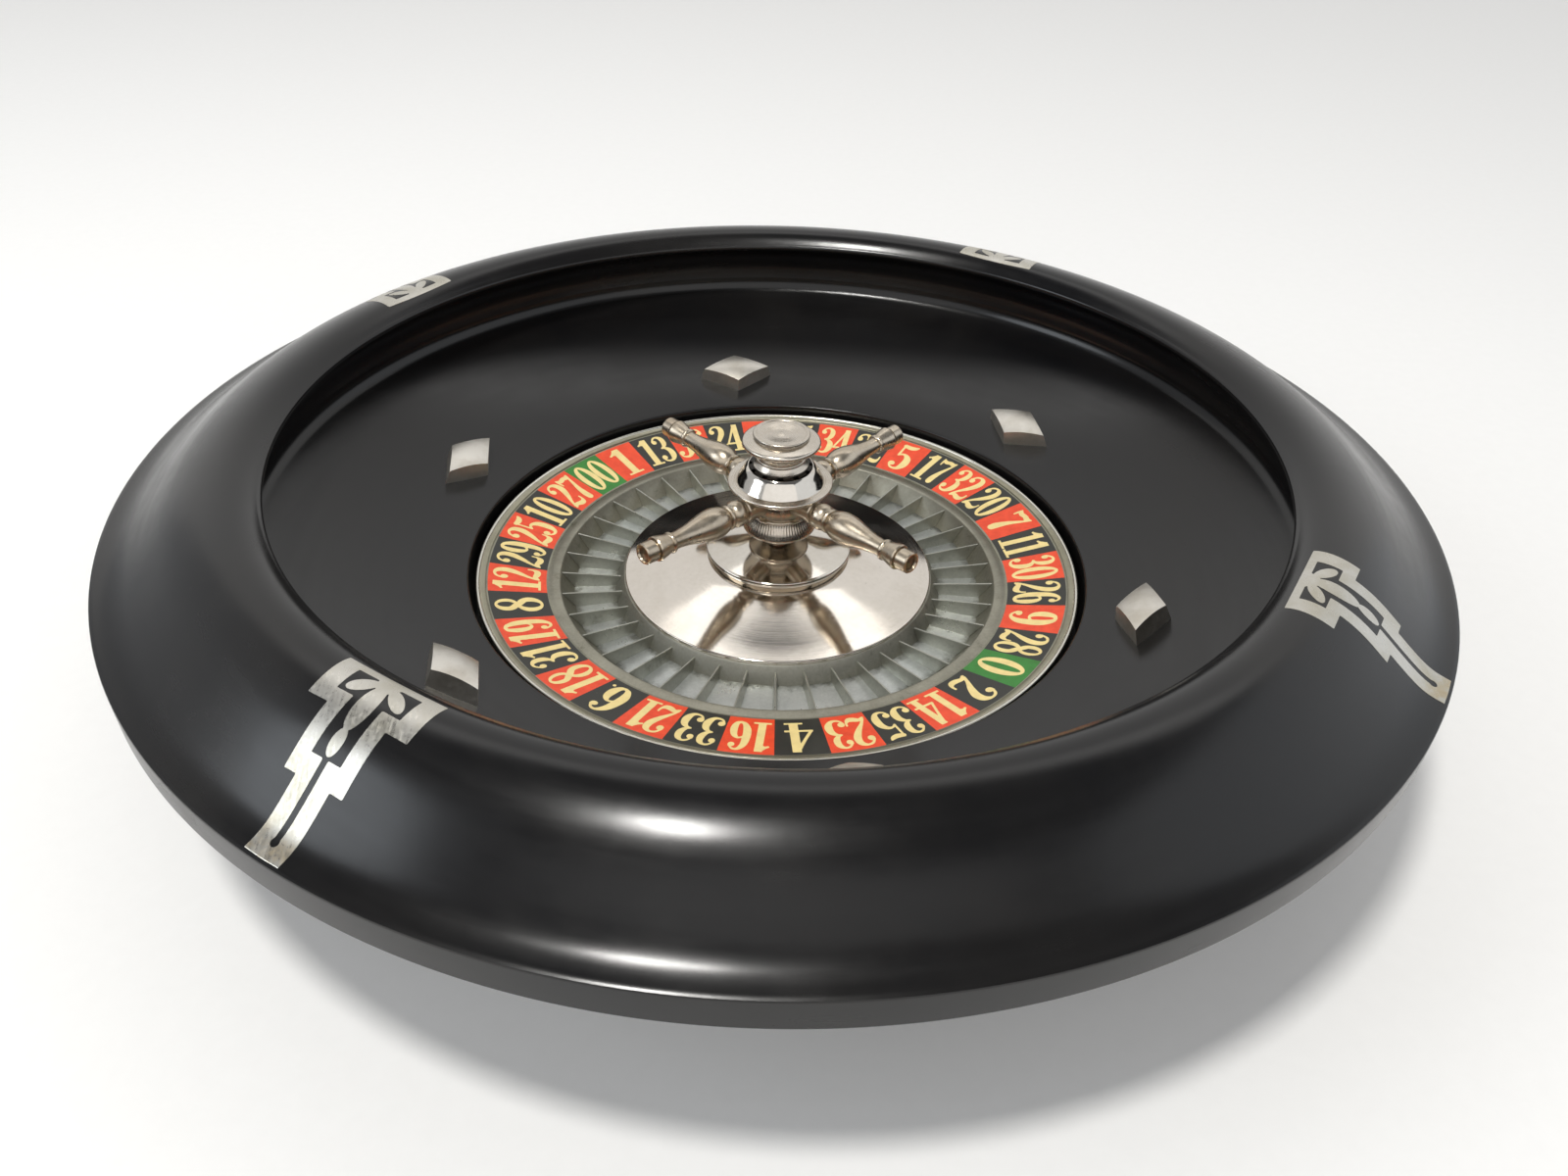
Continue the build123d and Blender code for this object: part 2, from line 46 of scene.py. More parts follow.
# ---------------------------------------------------------------------------
# profiles, in mm: radius and height relative to the wheel head's edge
# ---------------------------------------------------------------------------
def spline(pts, step=0.6):
    P = np.array(pts, float)
    d = np.linalg.norm(np.diff(P, axis=0), axis=1)
    t = np.concatenate([[0], np.cumsum(d)])
    m = len(P)
    A = np.zeros((m, m))
    B = np.zeros(P.shape)
    A[0, 0] = A[-1, -1] = 1
    for i in range(1, m - 1):
        h0, h1 = t[i] - t[i - 1], t[i + 1] - t[i]
        A[i, i - 1], A[i, i], A[i, i + 1] = h0, 2 * (h0 + h1), h1
        B[i] = 6 * ((P[i + 1] - P[i]) / h1 - (P[i] - P[i - 1]) / h0)
    M = np.linalg.solve(A, B)
    n = max(4, int(t[-1] / step))
    out = []
    for s in np.linspace(0, t[-1], n + 1):
        i = int(min(max(np.searchsorted(t, s) - 1, 0), m - 2))
        h = t[i + 1] - t[i]
        a, b = (t[i + 1] - s) / h, (s - t[i]) / h
        out.append(a * P[i] + b * P[i + 1] + ((a ** 3 - a) * M[i] + (b ** 3 - b) * M[i + 1]) * h * h / 6)
    return [tuple(p) for p in out]


def arc(p0, p1, p2, n=7):
    (ax, ay), (bx, by), (cx, cy) = p0, p1, p2
    d = 2 * (ax * (by - cy) + bx * (cy - ay) + cx * (ay - by))
    if abs(d) < 1e-9:
        return [p0, p1, p2]
    ux = ((ax ** 2 + ay ** 2) * (by - cy) + (bx ** 2 + by ** 2) * (cy - ay) + (cx ** 2 + cy ** 2) * (ay - by)) / d
    uy = ((ax ** 2 + ay ** 2) * (cx - bx) + (bx ** 2 + by ** 2) * (ax - cx) + (cx ** 2 + cy ** 2) * (bx - ax)) / d
    r = math.hypot(ax - ux, ay - uy)
    a0, a1, a2 = (math.atan2(y - uy, x - ux) for x, y in (p0, p1, p2))
    w1, w2 = (a1 - a0) % (2 * math.pi), (a2 - a0) % (2 * math.pi)
    if w1 > w2:
        w2 -= 2 * math.pi
    return [(ux + r * math.cos(a0 + w2 * k / n), uy + r * math.sin(a0 + w2 * k / n)) for k in range(n + 1)]


def profile(start, *steps, step=0.6, arc_n=7):
    pts = [start]
    for s in steps:
        if s[0] == "l":
            new = [pts[-1], s[1]]
        elif s[0] == "s":
            new = spline([pts[-1]] + list(s[1]), step)
        else:
            new = arc(pts[-1], s[1], s[2], arc_n)
        pts += [p for p in new[1:]]
    if math.dist(pts[0], pts[-1]) < 1e-6:
        pts.pop()
    return pts


def put_mesh(name, verts, faces, mats, body, slot=None, sharp=32, replaces=(), smooth=True):
    me = bpy.data.meshes.new(name)
    me.from_pydata([tuple(v) for v in verts], [], faces)
    me.update()
    bm = bmesh.new()
    bm.from_mesh(me)
    bmesh.ops.recalc_face_normals(bm, faces=bm.faces)
    bm.to_mesh(me)
    bm.free()
    if smooth:
        me.shade_smooth()
        me.set_sharp_from_angle(angle=math.radians(sharp))
    ob = bpy.data.objects.new(name, me)
    bpy.context.scene.collection.objects.link(ob)
    for m in (mats if isinstance(mats, (list, tuple)) else [mats]):
        me.materials.append(m)
    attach(ob, body)
    if replaces:
        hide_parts(*replaces)
    return ob


def lathe_data(pts, seg=360, phase=0.0, place=None, wobble=None):
    """Closed solid of revolution. pts is a closed loop, or runs from axis to axis."""
    pts = [(0.0 if abs(r) < 1e-6 else r, z) for r, z in pts]
    on_axis = [i for i, p in enumerate(pts) if p[0] == 0.0]
    if on_axis:
        # start the run at the axis point after which the profile leaves the axis
        s = [i for i in on_axis if pts[(i + 1) % len(pts)][0] != 0.0][0]
        pts = pts[s:] + pts[:s]
        closed = False
    else:
        closed = True
    verts, rows = [], []
    for i, (r, z) in enumerate(pts):
        if r == 0.0:
            rows.append([len(verts)])
            verts.append((0.0, 0.0, z))
        else:
            row = []
            for k in range(seg):
                a = phase + 2 * math.pi * k / seg
                rr = r if wobble is None else wobble(r, z, a)
                row.append(len(verts))
                verts.append((rr * math.cos(a), rr * math.sin(a), z))
            rows.append(row)
    faces = []
    n = len(rows)
    for i in range(n if closed else n - 1):
        a, b = rows[i], rows[(i + 1) % n]
        if len(a) == 1 and len(b) == 1:
            continue
        for k in range(seg):
            k2 = (k + 1) % seg
            if len(a) == 1:
                faces.append((a[0], b[k], b[k2]))
            elif len(b) == 1:
                faces.append((a[k], b[0], a[k2]))
            else:
                faces.append((a[k], b[k], b[k2], a[k2]))
    v = np.array(verts, float)
    if place is None:
        v[:, 2] += ZR
    else:
        v = place(v)
    return v * MM, faces


def lathe(name, pts, mats, body, seg=360, **kw):
    opts = {k: kw.pop(k) for k in ("phase", "place", "wobble") if k in kw}
    v, f = lathe_data(pts, seg, **opts)
    return put_mesh(name, v, f, mats, body, **kw)


# ---------------------------------------------------------------------------
# shader helpers
# ---------------------------------------------------------------------------
class Mat:
    def __init__(self, name):
        self.m = bpy.data.materials.new(name)
        self.m.use_nodes = True
        self.nt = self.m.node_tree
        self.nt.nodes.clear()
        self.out = self.nt.nodes.new("ShaderNodeOutputMaterial")
        self.b = self.nt.nodes.new("ShaderNodeBsdfPrincipled")
        self.nt.links.new(self.b.outputs[0], self.out.inputs[0])
        self.tc = self.nt.nodes.new("ShaderNodeTexCoord").outputs["Object"]
        self.normal = None

    def set(self, **kw):
        for k, v in kw.items():
            self.b.inputs[k.replace("_", " ")].default_value = v
        return self

    def link(self, a, b):
        self.nt.links.new(a, b)

    def math(self, op, a, b=None, clamp=False):
        n = self.nt.nodes.new("ShaderNodeMath")
        n.operation = op
        n.use_clamp = clamp
        for i, x in enumerate((a, b)):
            if x is None:
                continue
            if isinstance(x, (int, float)):
                n.inputs[i].default_value = x
            else:
                self.link(x, n.inputs[i])
        return n.outputs[0]

    def scaled(self, scale, vec=None, loc=(0, 0, 0)):
        n = self.nt.nodes.new("ShaderNodeMapping")
        n.inputs["Scale"].default_value = scale
        n.inputs["Location"].default_value = loc
        self.link(vec or self.tc, n.inputs["Vector"])
        return n.outputs[0]

    def noise(self, scale, detail=4.0, rough=0.55, vec=None, distort=0.0):
        n = self.nt.nodes.new("ShaderNodeTexNoise")
        n.inputs["Scale"].default_value = scale
        n.inputs["Detail"].default_value = detail
        n.inputs["Roughness"].default_value = rough
        n.inputs["Distortion"].default_value = distort
        self.link(vec or self.tc, n.inputs["Vector"])
        return n.outputs[0]

    def voronoi(self, scale, feature="F1", vec=None, rand=1.0):
        n = self.nt.nodes.new("ShaderNodeTexVoronoi")
        n.feature = feature
        n.inputs["Scale"].default_value = scale
        n.inputs["Randomness"].default_value = rand
        self.link(vec or self.tc, n.inputs["Vector"])
        return n.outputs["Distance"]

    def ramp(self, fac, stops, interp="LINEAR"):
        n = self.nt.nodes.new("ShaderNodeValToRGB")
        n.color_ramp.interpolation = interp
        el = n.color_ramp.elements
        while len(el) > 1:
            el.remove(el[-1])
        for i, (pos, c) in enumerate(stops):
            e = el[0] if i == 0 else el.new(pos)
            e.position = pos
            c = (c, c, c) if isinstance(c, (int, float)) else c
            e.color = (*c, 1.0)
        self.link(fac, n.inputs[0])
        return n.outputs[0]

    def mix(self, fac, a, b, blend="MIX"):
        n = self.nt.nodes.new("ShaderNodeMix")
        n.data_type = "RGBA"
        n.blend_type = blend
        n.clamp_factor = True
        if isinstance(fac, (int, float)):
            n.inputs[0].default_value = fac
        else:
            self.link(fac, n.inputs[0])
        for sock, x in ((6, a), (7, b)):
            if isinstance(x, (tuple, list)):
                n.inputs[sock].default_value = (*x[:3], 1.0)
            else:
                self.link(x, n.inputs[sock])
        return n.outputs[2]

    def xyz(self):
        n = self.nt.nodes.new("ShaderNodeSeparateXYZ")
        self.link(self.tc, n.inputs[0])
        return n.outputs

    def combine(self, x, y, z):
        n = self.nt.nodes.new("ShaderNodeCombineXYZ")
        for i, v in enumerate((x, y, z)):
            if isinstance(v, (int, float)):
                n.inputs[i].default_value = v
            else:
                self.link(v, n.inputs[i])
        return n.outputs[0]

    def polar(self, k_angle, k_r, k_z):
        """Vector of angle, radius and height about the wheel's axis, each scaled."""
        x, y, z = self.xyz()
        r = self.math("SQRT", self.math("ADD", self.math("MULTIPLY", x, x), self.math("MULTIPLY", y, y)))
        a = self.math("ARCTAN2", y, x)
        return self.combine(self.math("MULTIPLY", self.math("COSINE", a), k_angle),
                            self.math("ADD", self.math("MULTIPLY", r, k_r), self.math("MULTIPLY", self.math("SINE", a), k_angle)),
                            self.math("MULTIPLY", z, k_z))

    def radius(self):
        x, y, z = self.xyz()
        return self.math("SQRT", self.math("ADD", self.math("MULTIPLY", x, x), self.math("MULTIPLY", y, y)))

    def bump(self, height, strength=0.2, dist=0.0002):
        n = self.nt.nodes.new("ShaderNodeBump")
        n.inputs["Strength"].default_value = strength
        n.inputs["Distance"].default_value = dist
        self.link(height, n.inputs["Height"])
        if self.normal is not None:
            self.link(self.normal, n.inputs["Normal"])
        self.normal = n.outputs[0]
        self.link(self.normal, self.b.inputs["Normal"])
        return self

    def color(self, c):
        self.link(c, self.b.inputs["Base Color"])
        return self

    def rough(self, c):
        self.link(c, self.b.inputs["Roughness"])
        return self


def bakelite(name, base=0.0036, rough=(0.17, 0.30), spec=0.42):
    k = Mat(name).set(Metallic=0.0, IOR=1.50, Specular_IOR_Level=spec)
    cloud = k.noise(16, 5, 0.6, distort=0.6)
    fine = k.noise(140, 4, 0.6)
    wipes = k.noise(1.0, 4, 0.6, k.polar(6.0, 420.0, 420.0))
    c = k.mix(k.ramp(cloud, [(0.35, 0.0), (0.7, 1.0)]), (base, base, base * 1.15), (base * 1.9, base * 1.7, base * 1.6))
    dust = k.ramp(k.noise(2600, 2, 0.5), [(0.70, 0.0), (0.78, 1.0)])
    c = k.mix(k.math("MULTIPLY", dust, 0.07), c, (0.09, 0.085, 0.08))
    k.color(c)
    mixr = k.math("ADD", k.math("MULTIPLY", cloud, 0.55), k.math("ADD", k.math("MULTIPLY", wipes, 0.30), k.math("MULTIPLY", fine, 0.15)))
    k.rough(k.ramp(mixr, [(0.32, rough[0]), (0.68, rough[1])]))
    k.bump(k.noise(45, 3, 0.5), 0.10, 0.0006)
    k.bump(k.noise(1200, 3, 0.6), 0.05, 0.00005)
    k.bump(wipes, 0.05, 0.00004)
    return k.m


def nickel(name, col=(0.78, 0.75, 0.70), rough=(0.08, 0.2), tarnish=(0.42, 0.36, 0.27), amount=0.5, turned=True, pits=True):
    k = Mat(name).set(Metallic=1.0)
    big = k.noise(55, 5, 0.62, distort=0.4)
    fine = k.noise(900, 4, 0.6)
    lines = k.noise(1.0, 3, 0.65, k.polar(1.5, 2600.0, 2600.0)) if turned else k.noise(700, 3, 0.6)
    t = k.ramp(k.math("ADD", k.math("MULTIPLY", big, 0.75), k.math("MULTIPLY", fine, 0.25)), [(0.40, 0.0), (0.72, 1.0)])
    c = k.mix(k.math("MULTIPLY", t, amount), col, tarnish)
    if pits:
        spots = k.ramp(k.voronoi(420), [(0.02, 1.0), (0.07, 0.0)])
        gate = k.ramp(k.noise(160, 2, 0.5), [(0.56, 0.0), (0.62, 1.0)])
        c = k.mix(k.math("MULTIPLY", k.math("MULTIPLY", spots, gate), 0.75), c, (0.12, 0.09, 0.06))
    k.color(c)
    k.rough(k.ramp(k.math("ADD", k.math("MULTIPLY", big, 0.5), k.math("MULTIPLY", lines, 0.5)), [(0.35, rough[0]), (0.66, rough[1])]))
    k.bump(lines, 0.12, 0.00002)
    k.bump(k.noise(120, 3, 0.5), 0.08, 0.0002)
    return k.m


def brushed(name, col=(0.70, 0.68, 0.64), rough=(0.26, 0.42)):
    k = Mat(name).set(Metallic=1.0)
    streak = k.noise(1.0, 4, 0.65, k.scaled((250, 2600, 900)))
    streak2 = k.noise(1.0, 4, 0.65, k.scaled((2600, 300, 900)))
    big = k.noise(90, 5, 0.6)
    s = k.math("ADD", k.math("MULTIPLY", streak, 0.6), k.math("MULTIPLY", streak2, 0.4))
    c = k.mix(k.ramp(big, [(0.42, 0.0), (0.68, 0.8)]), col, (col[0] * 0.66, col[1] * 0.63, col[2] * 0.58))
    spots = k.ramp(k.voronoi(900), [(0.03, 1.0), (0.10, 0.0)])
    gate = k.ramp(k.noise(300, 2, 0.5), [(0.50, 0.0), (0.58, 1.0)])
    c = k.mix(k.math("MULTIPLY", k.math("MULTIPLY", spots, gate), 0.7), c, (0.16, 0.14, 0.12))
    k.color(c)
    k.rough(k.ramp(s, [(0.36, rough[0]), (0.64, rough[1])]))
    k.bump(s, 0.25, 0.00004)
    k.bump(k.noise(500, 3, 0.6), 0.15, 0.00008)
    return k.m


def casting(name, col=(0.50, 0.505, 0.48), dark=(0.16, 0.16, 0.14), metallic=0.85, rough=(0.36, 0.58), floor=False):
    k = Mat(name).set(Metallic=metallic)
    big = k.noise(130, 5, 0.62)
    fine = k.noise(1500, 4, 0.6)
    t = k.math("ADD", k.math("MULTIPLY", big, 0.7), k.math("MULTIPLY", fine, 0.3))
    c = k.mix(k.ramp(t, [(0.38, 0.0), (0.66, 1.0)]), col, tuple(x * 0.74 for x in col))
    if floor:
        # darker where the floor meets the walls: painted shade in the pocket corners, mixed with dirt broken up by
        # noise
        r = k.radius()
        e = k.math("SUBTRACT", 1.0, k.math("DIVIDE", k.math("ABSOLUTE", k.math("SUBTRACT", r, 0.0472)), 0.0056))
        dirt_and_shade = k.ramp(k.math("ADD", e, k.math("MULTIPLY", k.math("SUBTRACT", k.noise(420, 4, 0.65), 0.5), 1.1)), [(0.02, 1.0), (0.42, 0.0)])
    else:
        dirt_and_shade = k.ramp(k.noise(260, 5, 0.7), [(0.60, 0.0), (0.78, 1.0)])
    # dark colour mixed in: painted corner shade with dirt on pocket floors, dirt patches on other castings
    c = k.mix(k.math("MULTIPLY", dirt_and_shade, 0.75), c, dark)
    k.color(c)
    k.rough(k.ramp(t, [(0.35, rough[0]), (0.65, rough[1])]))
    k.bump(k.noise(700, 4, 0.6), 0.35, 0.00008)
    k.bump(big, 0.15, 0.0003)
    return k.m


def printed(name, col, alt, wear=0.25):
    k = Mat(name).set(Metallic=0.0, IOR=1.5, Coat_Weight=0.15, Coat_Roughness=0.22)
    n = k.noise(420, 5, 0.65)
    c = k.mix(k.ramp(n, [(0.35, 0.0), (0.70, 1.0)]), col, alt)
    chips = k.ramp(k.noise(1500, 3, 0.6), [(0.70, 0.0), (0.76, 1.0)])
    gate = k.ramp(k.noise(90, 2, 0.5), [(0.50, 0.0), (0.66, 1.0)])
    c = k.mix(k.math("MULTIPLY", k.math("MULTIPLY", chips, gate), wear), c, (0.42, 0.40, 0.30))
    k.color(c)
    k.rough(k.ramp(n, [(0.3, 0.30), (0.7, 0.46)]))
    k.bump(k.noise(900, 3, 0.6), 0.08, 0.00004)
    return k.m


M_BOWL = bakelite("bowl_black")
M_TRACK = bakelite("track_black", 0.0034, (0.16, 0.28))
M_BASE = bakelite("base_black", 0.007, (0.38, 0.55))
M_MIRROR = nickel("mirror_nickel", (0.72, 0.68, 0.62), (0.06, 0.14), (0.46, 0.41, 0.33), 0.4)
M_CONE = nickel("cone_nickel", (0.76, 0.71, 0.645), (0.07, 0.16), (0.58, 0.52, 0.44), 0.5)
M_HANDLE = nickel("handle_brassy", (0.60, 0.53, 0.43), (0.24, 0.38), (0.30, 0.225, 0.14), 0.85, turned=False)
M_DRUM = nickel("drum_nickel", (0.62, 0.56, 0.48), (0.16, 0.28), (0.32, 0.27, 0.20), 0.6)
M_FINIAL = nickel("finial_nickel", (0.66, 0.61, 0.54), (0.20, 0.34), (0.42, 0.36, 0.28), 0.65)
# darker copy of the handle nickel for the flat end faces: painted shade
M_HANDLE_END_SHADE = nickel("handle_end", (0.30, 0.26, 0.21), (0.34, 0.48), (0.14, 0.115, 0.085), 0.8, turned=False)
M_BEZEL = nickel("bezel_nickel", (0.74, 0.72, 0.65), (0.20, 0.34), (0.46, 0.43, 0.33), 0.5)
# darker olive nickel for the bezel's flat inner band
M_BEZFLAT = nickel("bezel_flat_tarnished", (0.40, 0.38, 0.29), (0.30, 0.45), (0.22, 0.20, 0.14), 0.7)
M_DEFL = brushed("deflector_nickel", (0.78, 0.75, 0.69), (0.34, 0.48))
M_CAST = casting("grey_casting", (0.34, 0.335, 0.285), (0.10, 0.10, 0.07))
M_BAND = casting("inner_band", (0.36, 0.345, 0.28), (0.14, 0.13, 0.08), 0.85, (0.34, 0.5))
# pocket floors: darker towards the walls, painted shade mixed with dirt
M_FLOOR = casting("pocket_floor", (0.60, 0.62, 0.60), (0.085, 0.08, 0.055), 0.8, (0.26, 0.42), floor=True)
M_FRET = casting("fret_metal", (0.52, 0.52, 0.46), (0.20, 0.20, 0.16), 0.9, (0.26, 0.42))
M_RED = printed("print_red", (0.86, 0.066, 0.010), (0.72, 0.050, 0.009))
M_BLACK = printed("print_black", (0.012, 0.012, 0.009), (0.024, 0.024, 0.017))
M_GREEN = printed("print_green", (0.020, 0.22, 0.018), (0.030, 0.165, 0.020))
M_CREAM = printed("print_cream", (0.90, 0.72, 0.30), (0.80, 0.62, 0.26), 0.12)
M_PLATE = casting("number_plate_metal", (0.34, 0.33, 0.26))
# near-black nickel: painted shade for the dark ring under the finial, used in the cap's recess and on the lock nut
M_SHADE_WELL = nickel("dark_well", (0.05, 0.045, 0.04), (0.3, 0.5), (0.02, 0.018, 0.015), 0.6)
M_STEEL = brushed("screw_steel", (0.52, 0.52, 0.52), (0.30, 0.45))
M_BRONZE = brushed("bush_bronze", (0.55, 0.38, 0.20), (0.25, 0.4))


def felt_material():
    k = Mat("felt_green").set(Metallic=0.0, Roughness=0.95)
    n = k.noise(1800, 5, 0.7)
    k.color(k.ramp(n, [(0.3, (0.012, 0.035, 0.020)), (0.7, (0.030, 0.075, 0.042))]))
    k.bump(n, 0.8, 0.0003)
    return k.m


def inlay_material():
    k = Mat("inlay_white_metal").set(Metallic=1.0)
    big = k.noise(85, 5, 0.6, distort=0.5)
    fine = k.noise(1200, 4, 0.6)
    scr = k.noise(1.0, 3, 0.6, k.scaled((2200, 220, 400)))
    r = k.radius()
    c = k.mix(k.ramp(big, [(0.40, 0.0), (0.66, 0.75)]), (0.62, 0.60, 0.55), (0.46, 0.43, 0.34))
    stain = k.math("MULTIPLY", k.ramp(r, [(0.1455, 0.0), (0.1515, 1.0)]), k.ramp(k.noise(300, 4, 0.6), [(0.40, 0.0), (0.62, 1.0)]))
    c = k.mix(k.math("MULTIPLY", stain, 0.8), c, (0.50, 0.38, 0.20))
    k.color(c)
    k.rough(k.ramp(k.math("ADD", k.math("MULTIPLY", scr, 0.5), k.math("MULTIPLY", fine, 0.5)), [(0.36, 0.24), (0.64, 0.42)]))
    k.bump(scr, 0.2, 0.00003)
    k.bump(k.noise(380, 3, 0.6), 0.2, 0.0001)
    return k.m


M_FELT = felt_material()
M_INLAY = inlay_material()

# ---------------------------------------------------------------------------
# bowl
# ---------------------------------------------------------------------------
R_WALL, Z_JOINT, R_JOINT, R_BOWL = 124.9, 24.5, 131.0, 152.4
RIM_TOP = [(117.35, 38.35), (119.0, 40.0), (121.2, 41.15), (123.6, 41.5), (126.6, 41.15),
           (130.0, 40.05), (134.0, 38.0), (139.0, 34.4), (144.0, 30.6), (148.2, 28.05), (R_BOWL, 26.9)]
rim_pts = profile(
    (R_WALL, Z_JOINT),
    ("s", [(R_WALL + 0.35, 27.6), (123.9, 31.6), (120.9, 34.9), (117.9, 36.45)]),
    ("a", (116.75, 37.2), RIM_TOP[0]),
    ("s", RIM_TOP[1:]),
    ("l", (R_BOWL, 26.4)),
    ("l", (R_BOWL - 0.2, 20.1)), ("l", (R_BOWL - 0.7, 19.6)), ("l", (147.9, 19.6)), ("l", (147.6, 23.4)),
    ("s", [(144.0, 25.9), (139.0, 29.8), (134.6, 33.0)]),
    ("l", (R_JOINT + 0.6, 33.4)), ("l", (R_JOINT, 32.6)), ("l", (R_JOINT, Z_JOINT)), step=0.5)
# soften the crease by a hair so that it catches light
_i = min(range(len(rim_pts)), key=lambda i: math.dist(rim_pts[i], (R_BOWL, 26.9)))
rim_pts[_i:_i + 1] = [(R_BOWL - 0.35, 26.93), (R_BOWL - 0.1, 26.84), (R_BOWL, 26.6)]
rim = lathe("rim_shell", rim_pts, M_BOWL, "bowl", seg=720, slot="black_bakelite", replaces=("rim",), sharp=38)

_top = np.array(spline(RIM_TOP, 0.2))


def rim_z(r):
    return float(np.interp(r, _top[:, 0], _top[:, 1]))


def track_z(r):
    d = r - 91.3
    return 5.3 + 0.309 * d + 0.0052 * d * d


a_end = math.atan(0.309 + 2 * 0.0052 * (122.8 - 91.3))
r_f = (R_WALL - 122.8) / (1 - math.sin(a_end))
fc = (122.8 - r_f * math.sin(a_end), track_z(122.8) + r_f * math.cos(a_end))
fil = [(fc[0] + r_f * math.cos(t), fc[1] + r_f * math.sin(t))
       for t in np.linspace(-math.pi / 2 + a_end, 0, 14)]
track_pts = ([(77.6, -13.5), (77.6, track_z(78.2) - 0.65)]
             + arc((77.6, track_z(78.2) - 0.65), (77.76, track_z(78.2) - 0.18), (78.2, track_z(78.2)))[1:]
             + [(r, track_z(r)) for r in np.linspace(78.8, 122.2, 64)]
             + fil + [(R_WALL, Z_JOINT), (R_JOINT, Z_JOINT), (R_JOINT, 18.8)]
             + spline([(R_JOINT, 18.8), (127.0, 16.9), (115.0, 10.0), (105.0, 5.2), (93.0, 0.6), (85.0, -2.2)], 1.0)[1:]
             + arc((85.0, -2.2), (82.6, -3.6), (81.6, -6.0))[1:]
             + [(81.6, -13.5)])
track = lathe("track_shell", track_pts, M_TRACK, "bowl", seg=720, slot="black_bakelite", replaces=("track_ring",), sharp=38)


def cut_holes(ob, holes):
    """Cuts cylinders (centre x, y, z0, z1, radius, tilt matrix) out of a shell."""
    bm = bmesh.new()
    for m, r, h in holes:
        bmesh.ops.create_cone(bm, cap_ends=True, segments=40, radius1=r * MM, radius2=r * MM, depth=h * MM, matrix=m)
    me = bpy.data.meshes.new("cutter")
    bm.to_mesh(me)
    bm.free()
    c = bpy.data.objects.new("cutter", me)
    bpy.context.scene.collection.objects.link(c)
    mod = ob.modifiers.new("holes", "BOOLEAN")
    mod.operation, mod.object, mod.solver = "DIFFERENCE", c, "MANIFOLD"
    dg = bpy.context.evaluated_depsgraph_get()
    new = bpy.data.meshes.new_from_object(ob.evaluated_get(dg))
    ob.modifiers.remove(mod)
    if len(new.polygons) > 1000:
        ob.data = new
        ob.data.shade_smooth()
        ob.data.set_sharp_from_angle(angle=math.radians(38))
    bpy.data.objects.remove(c)


holes = []
for k in range(8):
    a = math.radians(22.5 + 45 * k)
    holes.append((Matrix.Translation(Vector((128 * math.cos(a), 128 * math.sin(a), ZR + 15.8)) * MM), 3.3, 7.6))
for k in range(6):
    a = math.radians(40.3 + 60 * k + (0.0, -0.9, 0.0, 0.6, 0.0, 0.0)[k])
    m = (Matrix.Rotation(a, 4, "Z") @ Matrix.Translation(Vector((91.3, 0, ZR + 5.3)) * MM)
         @ Matrix.Rotation(-math.atan(0.309), 4, "Y") @ Matrix.Translation(Vector((0, 0, -7.7)) * MM))
    holes.append((m, 2.8, 6.0))
cut_holes(track, holes)


# ---------------------------------------------------------------------------
# flat shapes from signed distance fields: inlays and digits
# ---------------------------------------------------------------------------
def sd_box(X, Y, x0, x1, y0, y1):
    return np.maximum(np.maximum(x0 - X, X - x1), np.maximum(y0 - Y, Y - y1))


def sd_ell(X, Y, cx, cy, a, b, rot=0.0):
    c, s = math.cos(rot), math.sin(rot)
    u, v = (X - cx) * c + (Y - cy) * s, -(X - cx) * s + (Y - cy) * c
    k = np.sqrt((u / a) ** 2 + (v / b) ** 2) + 1e-9
    return (k - 1.0) * np.sqrt(u * u + v * v + 1e-12) / k * np.where(k < 1e-3, 0, 1) - np.where(k < 1e-3, min(a, b), 0)


def sd_poly(X, Y, pts):
    """Convex polygon, counter-clockwise."""
    d = np.full(X.shape, -1e9)
    for (x0, y0), (x1, y1) in zip(pts, pts[1:] + pts[:1]):
        l = math.hypot(x1 - x0, y1 - y0)
        d = np.maximum(d, ((X - x0) * (y1 - y0) - (Y - y0) * (x1 - x0)) / l)
    return d


def sd_stroke(X, Y, pts, closed=False, n=14):
    """Stroke through (x, y, half width) points along a smooth curve."""
    P = np.array(pts, float)
    if closed:
        P = np.vstack([P, P[:1]])
    m = len(P)
    ext = np.vstack([P[-2] if closed else 2 * P[0] - P[1], P, P[1] if closed else 2 * P[-1] - P[-2]])
    line = []
    for i in range(1, m):
        p0, p1, p2, p3 = ext[i - 1], ext[i], ext[i + 1], ext[i + 2]
        for t in np.linspace(0, 1, n, endpoint=False):
            line.append(0.5 * (2 * p1 + (p2 - p0) * t + (2 * p0 - 5 * p1 + 4 * p2 - p3) * t * t
                               + (3 * p1 - p0 - 3 * p2 + p3) * t ** 3))
    line.append(P[-1])
    d = np.full(X.shape, 1e9)
    for a, b in zip(line[:-1], line[1:]):
        ab = b[:2] - a[:2]
        l2 = max(float(ab @ ab), 1e-12)
        t = np.clip(((X - a[0]) * ab[0] + (Y - a[1]) * ab[1]) / l2, 0, 1)
        dd = np.hypot(X - a[0] - t * ab[0], Y - a[1] - t * ab[1]) - (a[2] + t * (b[2] - a[2]))
        d = np.minimum(d, dd)
    return d


